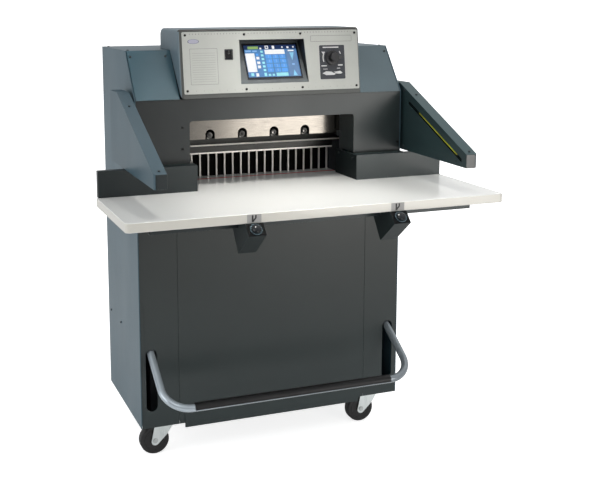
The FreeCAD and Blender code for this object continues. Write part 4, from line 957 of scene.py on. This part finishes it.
class CUTTER_OT_display(bpy.types.Operator):
    """Draw the lit touch screen: bars, list, number keys and arrows"""

    bl_idname = "cutter.display"
    bl_label = "Display"

    def execute(self, context):
        dress("screen_face", "touch_screen", rounding=0.3 * MM)
        matrix, width, height = face_frame("touch_screen", (0, -1, 0.5))
        self.place = matrix @ Matrix.Translation((5 * MM, 7.9 * MM, 0))
        self.wide, self.high = width - 11 * MM, height - 14.8 * MM
        self.thick = sizes().mark_thick
        self.layers = {}
        self.field("glow_ground", 0, 0, 0, 1, 1)
        self.field("glow_navy", 1, 0, 0, 1, 0.13)
        self.field("glow_green", 2, 0.07, 0.035, 0.27, 0.12, 0.6)
        for spot in ((0.295, 0.076, 0.33, 0.13), (0.40, 0.016, 0.465, 0.115),
                     (0.536, 0.02, 0.582, 0.12), (0.72, 0.044, 0.747, 0.094),
                     (0.82, 0.048, 0.86, 0.108), (0.935, 0.046, 0.962, 0.093),
                     (0.383, 0.143, 0.765, 0.287), (0.005, 0.25, 0.178, 0.837),
                     (0.204, 0.363, 0.26, 0.447), (0.204, 0.513, 0.26, 0.593),
                     (0.204, 0.637, 0.26, 0.726), (0.145, 0.879, 0.197, 0.982)):
            self.field("glow_white", 2, *spot, 0.8)
        self.field("glow_navy", 3, 0.415, 0.04, 0.45, 0.09, 1.2)
        self.field("glow_tab", 2, 0.016, 0.153, 0.12, 0.205, 0.6)
        self.field("glow_tab", 2, 0.149, 0.165, 0.234, 0.207, 0.6)
        self.field("glow_keys", 2, 0.204, 0.262, 0.253, 0.327, 0.8)
        for row in range(7):
            top = 0.171 + 0.1165 * row
            self.field("glow_mint", 2, 0.30, top, 0.348, top + (0.107 if row == 6 else 0.066), 0.8)
        for spot in ((0.378, 0.908, 0.426, 0.975), (0.454, 0.908, 0.498, 0.975),
                     (0.531, 0.877, 0.76, 0.985), (0.05, 0.873, 0.105, 0.967)):
            self.field("glow_mint", 2, *spot, 0.8)
        for row, line in enumerate(("789", "456", "123", "±0.")):
            for left, digit in zip((0.382, 0.518, 0.648), line):
                top = 0.305 + 0.143 * row
                self.field("glow_keys", 2, left, top, left + 0.115, top + 0.122, 1.0)
                shape = numeral(digit, 9 * MM, self.thick * 4, self.thick * 5)
                self.put("glow_tab", shape, left + 0.058, top + 0.061)
        self.field("glow_pale", 1, 0.795, 0.15, 0.985, 1)
        self.field("glow_white", 3, 0.832, 0.162, 0.945, 0.205, 0.4)
        self.field("glow_tab", 3, 0.867, 0.597, 0.919, 0.643, 0.4)
        for tip, base in ((0.50, 0.245), (0.798, 0.98)):
            points = [(0.854, base), (0.939, base), (0.888, tip)]
            corners = [(s * self.wide, (1 - t) * self.high) for s, t in points]
            self.put("glow_arrow", drawn(corners, self.thick * 3, self.thick * 4))
        for finish, layer in self.layers.items():
            piece(finish.replace("glow", "display"), layer, finish, "machine")
        return {"FINISHED"}

    def put(self, finish, part, s=0.0, t=1.0):
        layer = self.layers.setdefault(finish, bmesh.new())
        spot = Matrix.Translation((s * self.wide, (1 - t) * self.high, 0))
        join(layer, part, self.place @ spot)

    def field(self, finish, level, s0, t0, s1, t1, radius=0.0):
        """A lit field given in shares of the display, from its upper left corner."""
        part = plate((s1 - s0) * self.wide, (t1 - t0) * self.high, level * self.thick,
                     (level + 1) * self.thick, radius * MM)
        self.put(finish, part, (s0 + s1) / 2, (t0 + t1) / 2)


class CUTTER_OT_console(bpy.types.Operator):
    """Make the console's dial plate, knob, rocker, badge and printed marks"""

    bl_idname = "cutter.console"
    bl_label = "Console front"

    def execute(self, context):
        panel = panel_frame()
        thick = sizes().mark_thick
        grey, pale = bmesh.new(), bmesh.new()
        card = (-240.5 * MM, 102.25 * MM)
        nameplate = (209.25 * MM, 185.25 * MM)
        join(grey, rim(93 * MM, 115.5 * MM, 0.9 * MM, 0, thick, 2 * MM, card), panel)
        join(grey, rim(150.5 * MM, 20.5 * MM, 1 * MM, 0, thick, 3 * MM, nameplate), panel)
        for line in range(13):
            join(pale, plate(78 * MM, 0.7 * MM, 0, thick, 0, (card[0], (54 + 7.6 * line) * MM)),
                 panel)
        ticks, screws_x, screw_gap = 54, (-103.3, 95.9), 7
        for tick in range(ticks):
            x = -285 + 10.5 * tick
            if min(abs(x - screw_x) for screw_x in screws_x) > screw_gap:
                high = (4.4, 3.6, 4.0)[tick % 3]
                middle = (x * MM, (206.2 + 1.6 * tick / ticks) * MM)
                join(grey if tick % 4 else pale,
                     plate(1.6 * MM, high * MM, 0, thick, 0, middle), panel)
        for dot in range(22):
            join(pale, plate(1.3 * MM, 3 * MM, 0, thick, 0,
                             ((-270 + 26 * dot) * MM, 24.4 * MM)), panel)
        piece("panel_lines", grey, "print_grey", "machine")
        piece("panel_ruling", pale, "print_pale", "machine")
        flatness = 14.5 / 38
        oval = panel @ Matrix.Translation((-273.5 * MM, 183 * MM, 0))
        oval = oval @ Matrix.Diagonal((1, flatness, 1, 1))
        piece("oval_plate", disc(17.6 * MM, 0, 0.8 * MM, 48, 0.3 * MM), "badge_face", "machine",
              place=oval)
        piece("oval_rim", ring(18.3 * MM, 1.6 * MM, 0, 0.9 * MM, 48), "badge_rim", "machine",
              place=oval)
        self.dial(panel, thick)
        self.rocker(panel, thick)
        return {"FINISHED"}

    def dial(self, panel, thick):
        plate_thick = 0.35 * MM
        middle = (210.25 * MM, 106 * MM)
        part = soften(plate(92.5 * MM, 114 * MM, 0, plate_thick, 4 * MM, middle), 0.12 * MM)
        piece("dial_plate", part, "dial_grey", "machine", place=panel)
        white = bmesh.new()
        here = panel @ Matrix.Translation((0, 0, plate_thick))
        join(white, rim(93.6 * MM, 115 * MM, 0.7 * MM, -plate_thick, -plate_thick / 2,
                        4.4 * MM, middle), here)
        hub = Matrix.Translation((210 * MM, 120 * MM, 0))
        join(white, arc(33 * MM, 3.4 * MM, math.radians(152), math.radians(50), 0, thick),
             here @ hub)
        for x, y, wide, high in (
                (179.5, 94, 20, 3.2), (239, 95.5, 17, 4.5), (184, 83, 16, 1.6), (232, 85, 12, 2.2),
                (206, 155.5, 58, 3.6)):
            join(white, plate(wide * MM, high * MM, 0, thick, 0.6 * MM, (x * MM, y * MM)), here)
        for points, spot in (
                (((-38, 21.5), (-31.5, 11.5), (-25, 20.5)), here @ hub),
                (((26, 21), (28.5, 22.5), (33, 14), (30, 12.5)), here @ hub),
                (((172, 69), (186, 75.5), (206, 74), (212, 70), (222, 67), (215, 62.8),
                  (186, 62.7)), here),
                (((214, 73), (238, 76), (246, 70), (240, 66.2), (224, 66.8)), here)):
            join(white, drawn(mm(*points), 0, thick), spot)
        piece("dial_marks", white, "print_white", "machine")
        seat = panel.copy()
        seat.translation = joint_place("knob_turn")
        foot = 2.4 * MM
        skirt = mm((0, 0), (23.8, 0), (25, 1.2), (24.2, 5.6), (21, 7), (14.5, 7.4), (0, 7.4))
        knob = lathe([(radius, foot + level) for radius, level in skirt], 64)
        steps = sizes().knob_flutes * 4
        grip = disc(15 * MM, foot + 7 * MM, foot + 28 * MM, steps, 1.5 * MM)
        low = [spot for spot in grip.verts
               if int(math.atan2(spot.co.y, spot.co.x) / math.tau * steps + 0.5) % 4 < 2]
        flute, pointer_top = 0.945, foot + 22 * MM
        bmesh.ops.scale(grip, vec=(flute, flute, 1), verts=low)
        join(knob, grip)
        join(knob, block((4 * MM, -3 * MM, foot), (30 * MM, 3 * MM, pointer_top), 1.4 * MM))
        join(knob, disc(4 * MM, -12 * MM, foot + 0.5 * MM, 24))
        piece("knob_fluted", knob, "black_plastic", "dial_knob", ("knob",), seat)
        mark = plate(18 * MM, 1.1 * MM, 0, thick, 0.4 * MM, (19 * MM, 0))
        top = seat @ Matrix.Translation((0, 0, pointer_top))
        piece("knob_mark", mark, "print_grey", "dial_knob", place=top)

    def rocker(self, panel, thick):
        recast("black_gloss", "rocker_switch", rounding=1.2 * MM, segments=3)
        middle = (-155.5 * MM, 139.2 * MM)
        collar = soften(rim(27.8 * MM, 34.4 * MM, 2 * MM, 0, 1.4 * MM, 2 * MM, middle), 0.5 * MM)
        piece("rocker_collar", collar, "black_plastic", "machine", place=panel)
        marks = bmesh.new()
        upper = face_frame("rocker_switch", (0, -1, 0))[0]
        for mark, y in ((plate(1.1 * MM, 5 * MM, 0, thick), 10.5),
                        (ring(2.2 * MM, 0.8 * MM, 0, thick), 3.5)):
            join(marks, mark, upper @ Matrix.Translation((11 * MM, y * MM, 0)))
        piece("rocker_marks", marks, "print_grey", "rocker")


class CUTTER_OT_screws(bpy.types.Operator):
    """Make the socket screws of the panel, the covers and the arms"""

    bl_idname = "cutter.screws"
    bl_label = "Screws"

    def execute(self, context):
        black, painted = bmesh.new(), bmesh.new()
        for seat, outward, radius, height in islands("screws"):
            light = outward.z > 0.3 or abs(outward.x) > 0.9
            join(painted if light else black, socket_head(radius, height),
                 upright_on(seat, outward))
        piece("screws_black", black, "black_screw", "machine", ("screws",))
        piece("screws_painted", painted, "screw_paint", "machine", ("screws",))
        return {"FINISHED"}


class CUTTER_OT_press(bpy.types.Operator):
    """Finish the knife, the clamp and the back gauge"""

    bl_idname = "cutter.press"
    bl_label = "Press"

    def execute(self, context):
        recast("ground_steel", "knife_rod", "lead_screw", "clamp_pull_frame")
        recast("polished_steel", "knife_carrier", rounding=0.4 * MM)
        # The clamp beam and blade get the near-black steel: painted shade.
        recast("steel_in_shade", "clamp_beam", "knife_blade", rounding=0.4 * MM)
        # The bolt pockets get a near-black skin: painted shade in the recesses.
        pocket_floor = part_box("knife_carrier")[0].y + 14 * MM
        shade_lining("bolt_pocket_shade", "knife_carrier", "painted_shade_black",
               lambda spot, normal: abs(spot.y - pocket_floor) < 0.2 * MM and normal.y < -0.99)
        # A thin strip on the blade's bevel: the ground edge, its bright line a painted glint.
        place, width, _ = face_frame("knife_blade", (0, -0.8, -0.6))
        ground = 6 * MM
        strip = plate(width, ground, 0, 0.08 * MM, 0, (width / 2, ground / 2))
        piece("knife_edge", strip, "steel_glint", "knife", place=place)
        # A strip along the clamp's lower edge: its bright line a painted glint.
        low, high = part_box("clamp_beam")
        half, proud = 288 * MM, 0.1 * MM
        foot = block((-half, low.y - proud, low.z), (half, high.y + proud, low.z + 5 * MM),
                     0.05 * MM)
        piece("clamp_foot_strip", foot, "steel_glint", "clamp")
        # Light blocks beside each bolt head, in the glint steel: painted highlights.
        bolts, glints = bmesh.new(), bmesh.new()
        glint_low, glint_high = 1056.5 * MM, 1069 * MM
        for seat, outward, radius, height in islands("knife_bolts"):
            join(bolts, socket_head(radius, height, 32), upright_on(seat, outward))
            join(glints, block((seat.x - 7.5 * MM, seat.y - 6 * MM, glint_low),
                                (seat.x + 1.5 * MM, seat.y, glint_high), 0.8 * MM))
        piece("knife_bolt_heads", bolts, "bolt_steel", "knife", ("knife_bolts",))
        piece("knife_bolt_glints", glints, "steel_glint", "knife")
        self.gauge()
        return {"FINISHED"}

    def gauge(self):
        low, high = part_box("gauge_comb")
        bar = copy_of("gauge_comb")
        finger_deep, finger_half, finger_count = 7 * MM, 2.7 * MM, 20
        edge = low.y + finger_deep
        bmesh.ops.bisect_plane(
            bar, geom=bar.verts[:] + bar.edges[:] + bar.faces[:], dist=SAME_SPOT,
            plane_co=(0, edge, 0), plane_no=(0, 1, 0), clear_inner=True)
        bmesh.ops.holes_fill(bar, edges=[run for run in bar.edges if run.is_boundary])
        bmesh.ops.triangulate(bar, faces=bar.faces[:])
        flatten(bar)
        # The bar behind the fingers is near black: painted shade in the gaps between them.
        piece("gauge_bar", bar, "painted_shade_black", "back_gauge", ("gauge_comb",))
        fingers = bmesh.new()
        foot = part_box("front_table")[1].z + 0.5 * MM
        for number in range(finger_count):
            x = (number - (finger_count - 1) / 2) * sizes().finger_pitch
            join(fingers, block((x - finger_half, low.y, foot), (x + finger_half, edge, high.z),
                                0.7 * MM))
        piece("gauge_fingers", fingers, "comb_alloy", "back_gauge", ("gauge_comb",))


class CUTTER_OT_arms(bpy.types.Operator):
    """Finish the light-curtain arms, paint shade into their grooves and set the lenses"""

    bl_idname = "cutter.arms"
    bl_label = "Light-curtain arms"

    def execute(self, context):
        recast("arm_paint", "arm_left", "arm_right", rounding=1.0 * MM)
        for word, side in (("left", 1), ("right", -1)):
            node = "arm_" + word
            # Painted shade: the inner faces get a dark paint.
            refinish(node, "inner_shade_paint", lambda face: face.normal.x * side > 0.9)
            # Painted shade: the top faces get the darker arm top paint.
            refinish(node, "arm_top_shade", lambda face: face.normal.z > 0.5)
            # Tips: the right one a glossy dark paint, the left one the darker fence paint, painted shade on the
            # left tip.
            refinish(node, "tip_paint" if side < 0 else "fence_paint",
                     lambda face: face.normal.y < -0.9)
        recast("lens_yellow", "arm_lenses", rounding=0.6 * MM)
        # The grooves get a near-black skin: painted shade in the recesses.
        groove_floor = 488 * MM
        for word in HANDS:
            shade_lining("groove_shade_" + word, "arm_" + word, "painted_shade_black",
                   lambda spot, normal: abs(abs(spot.x) - groove_floor) < 0.3 * MM
                   and abs(normal.x) > 0.99)
        return {"FINISHED"}


class CUTTER_OT_buttons(bpy.types.Operator):
    """Finish the button housings, their nose plates and the two cut buttons"""

    bl_idname = "cutter.buttons"
    bl_label = "Cut buttons"

    def execute(self, context):
        for word in HANDS:
            recast("dark_paint", "button_housing_" + word, rounding=1.0 * MM)
            recast("button_gloss", "cut_button_" + word, rounding=0.5 * MM)
            low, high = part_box("button_housing_" + word)
            rise = sizes().nose_rise
            place = frame_on(
                ((low.x + high.x) / 2, low.y + rise / 2, high.z - rise / 2), (1, 0, 0), (0, 1, 1))
            nose = flat(high.x - low.x - 1.6 * MM, rise * math.sqrt(2) - 1.8 * MM, 0, 1.5 * MM,
                        steps=7)
            outer = nose.edges[:]
            bmesh.ops.delete(nose, geom=nose.faces[:], context="FACES_ONLY")
            hole = bmesh.ops.create_circle(
                nose, cap_ends=False, segments=32, radius=18.8 * MM)["verts"]
            inner = list({run for spot in hole for run in spot.link_edges})
            bmesh.ops.bridge_loops(nose, edges=outer + inner)
            soften(lift(nose, 0.5 * MM), 0.15 * MM)
            piece("nose_plate_" + word, nose, "nose_black", "machine", place=place)
            collar = lathe(mm((15, 0.4), (18.9, 0.4), (18.9, 2.9), (18.1, 3.8), (15.8, 3.8),
                              (15, 3.1)), 48, True)
            piece("button_ring_" + word, collar, "button_ring", "machine",
                  place=place)
        return {"FINISHED"}


class CUTTER_OT_treadle(bpy.types.Operator):
    """Finish the foot treadle and its ribbed grip"""

    bl_idname = "cutter.treadle"
    bl_label = "Treadle"

    def execute(self, context):
        recast("treadle_paint", "treadle_tube", rounding=0)
        recast("grip_rubber", "treadle_grip", rounding=0.8 * MM)
        return {"FINISHED"}


class CUTTER_OT_casters(bpy.types.Operator):
    """Finish the casters' forks and turn their wheels"""

    bl_idname = "cutter.casters"
    bl_label = "Casters"

    def execute(self, context):
        recast("zinc", "caster_plates", rounding=0.6 * MM)
        for spot in CORNERS:
            fork = "caster_fork_" + spot
            recast("zinc", fork, rounding=0.8 * MM)
            self.trim(spot, fork)
            self.wheel(spot)
        return {"FINISHED"}

    def trim(self, spot, fork):
        hub = joint_place(spot + "_spin")
        kingpin = joint_place(spot + "_swivel")
        side = math.copysign(1, kingpin.x - hub.x)
        ribs, nuts = bmesh.new(), bmesh.new()
        leg_off, rib_half, rib_proud, rib_top = 21.5 * MM, 1.4 * MM, 1.2 * MM, 103 * MM
        for face in (-1, 1):
            leg = hub.y + face * leg_off
            front, back = sorted((leg, leg + face * rib_proud))
            for reach, drop in mm((17, 14), (24, 20)):
                x = hub.x + side * reach
                join(ribs, block((x - rib_half, front, hub.z + drop),
                                 (x + rib_half, back, rib_top), 0.5 * MM))
            turn = Matrix.Rotation(math.radians(-90 * face), 4, "X")
            place = Matrix.Translation((hub.x, leg, hub.z)) @ turn
            join(nuts, disc(9 * MM, 0, 1 * MM, 32, 0.3 * MM), place)
            join(nuts, disc(7.4 * MM, 1 * MM, 4.5 * MM, 6, 0.5 * MM), place)
        piece("fork_ribs_" + spot, ribs, "zinc", body_of(fork))
        piece("axle_nuts_" + spot, nuts, "nut_steel", body_of(fork))

    def wheel(self, spot):
        node = "wheel_" + spot
        hub = joint_place(spot + "_spin")
        groove = sizes().groove_wide / 2 / MM
        tread, half, web, side, groove_floor = 50, 16, 14.4, 15.6, 14.8
        outline = [(5.1, half), (12, half), (13.2, web), (31.5, web), (33, side),
                   (groove - 0.8, side), (groove - 0.4, groove_floor),
                   (groove + 0.4, groove_floor), (groove + 0.8, half), (tread, half)]
        lower = [(radius, -level) for radius, level in outline]
        part = lathe(mm(*lower, *reversed(outline)), 72, True)
        edge = [run for run in part.edges
                if min(spot.co.to_2d().length for spot in run.verts) > (tread - 0.1) * MM
                and min(abs(spot.co.z) for spot in run.verts) > (half - 0.1) * MM
                and abs(run.verts[0].co.z - run.verts[1].co.z) < MM]
        chamfer(part, edge, 6 * MM, 6)
        turn = Matrix.Rotation(math.radians(90), 4, "X")
        piece(node + "_turned", part, "tyre_black", body_of(node), (node,),
              Matrix.Translation(hub) @ turn)


class CUTTER_OT_works(bpy.types.Operator):
    """Finish what the cabinet holds"""

    bl_idname = "cutter.works"
    bl_label = "Works"

    def execute(self, context):
        dress("cast_frame", "upright_left", "upright_right", "crown_beam")
        dress("hidden_steel", "hydraulic_cylinders")
        dress("dark_paint", "oil_tank", "control_box")
        recast("motor_alloy", "gauge_motor", "pump_motor")
        fins = bmesh.new()
        axis = Matrix.Translation((206 * MM, 182 * MM, 0))
        low, high = mm((63, -1, 348), (70, 1, 470))
        box_side = math.radians(36)
        for number in range(sizes().fin_count):
            angle = math.tau * number / sizes().fin_count
            if abs(math.remainder(angle, math.tau)) > box_side:
                join(fins, block(low, high, 0.4 * MM), axis @ Matrix.Rotation(angle, 4, "Z"))
        piece("motor_fins", fins, "motor_alloy", "machine")
        return {"FINISHED"}


OPERATORS = (
    CUTTER_OT_studio, CUTTER_OT_cabinet, CUTTER_OT_table, CUTTER_OT_head, CUTTER_OT_display,
    CUTTER_OT_console, CUTTER_OT_screws, CUTTER_OT_press, CUTTER_OT_arms, CUTTER_OT_buttons,
    CUTTER_OT_treadle, CUTTER_OT_casters, CUTTER_OT_works)


class CUTTER_PT_sidebar(bpy.types.Panel):
    """Lists the cutter's operators, colours and sizes"""

    bl_label = "Paper Cutter"
    bl_idname = "CUTTER_PT_sidebar"
    bl_space_type = "VIEW_3D"
    bl_region_type = "UI"
    bl_category = "Paper Cutter"

    def draw(self, context):
        column = self.layout.column()
        for operator in OPERATORS:
            column.operator(operator.bl_idname)
        for group in (finishes(), sizes(), studio()):
            for name in group.bl_rna.properties.keys():
                if name not in ("rna_type", "name"):
                    column.prop(group, name)


GROUPS = (("cutter_finishes", CutterFinishes), ("cutter_sizes", CutterSizes),
          ("cutter_studio", CutterStudio))


def register():
    for name, group in GROUPS:
        bpy.utils.register_class(group)
        setattr(bpy.types.Scene, name, PointerProperty(type=group))
    for item in (*OPERATORS, CUTTER_PT_sidebar):
        bpy.utils.register_class(item)


def unregister():
    for item in (CUTTER_PT_sidebar, *reversed(OPERATORS)):
        bpy.utils.unregister_class(item)
    for name, group in reversed(GROUPS):
        delattr(bpy.types.Scene, name)
        bpy.utils.unregister_class(group)


def main():
    register()
    for operator in OPERATORS:
        family, name = operator.bl_idname.split(".")
        getattr(getattr(bpy.ops, family), name)()
    bpy.context.view_layer.update()


if __name__ == "__main__":
    main()
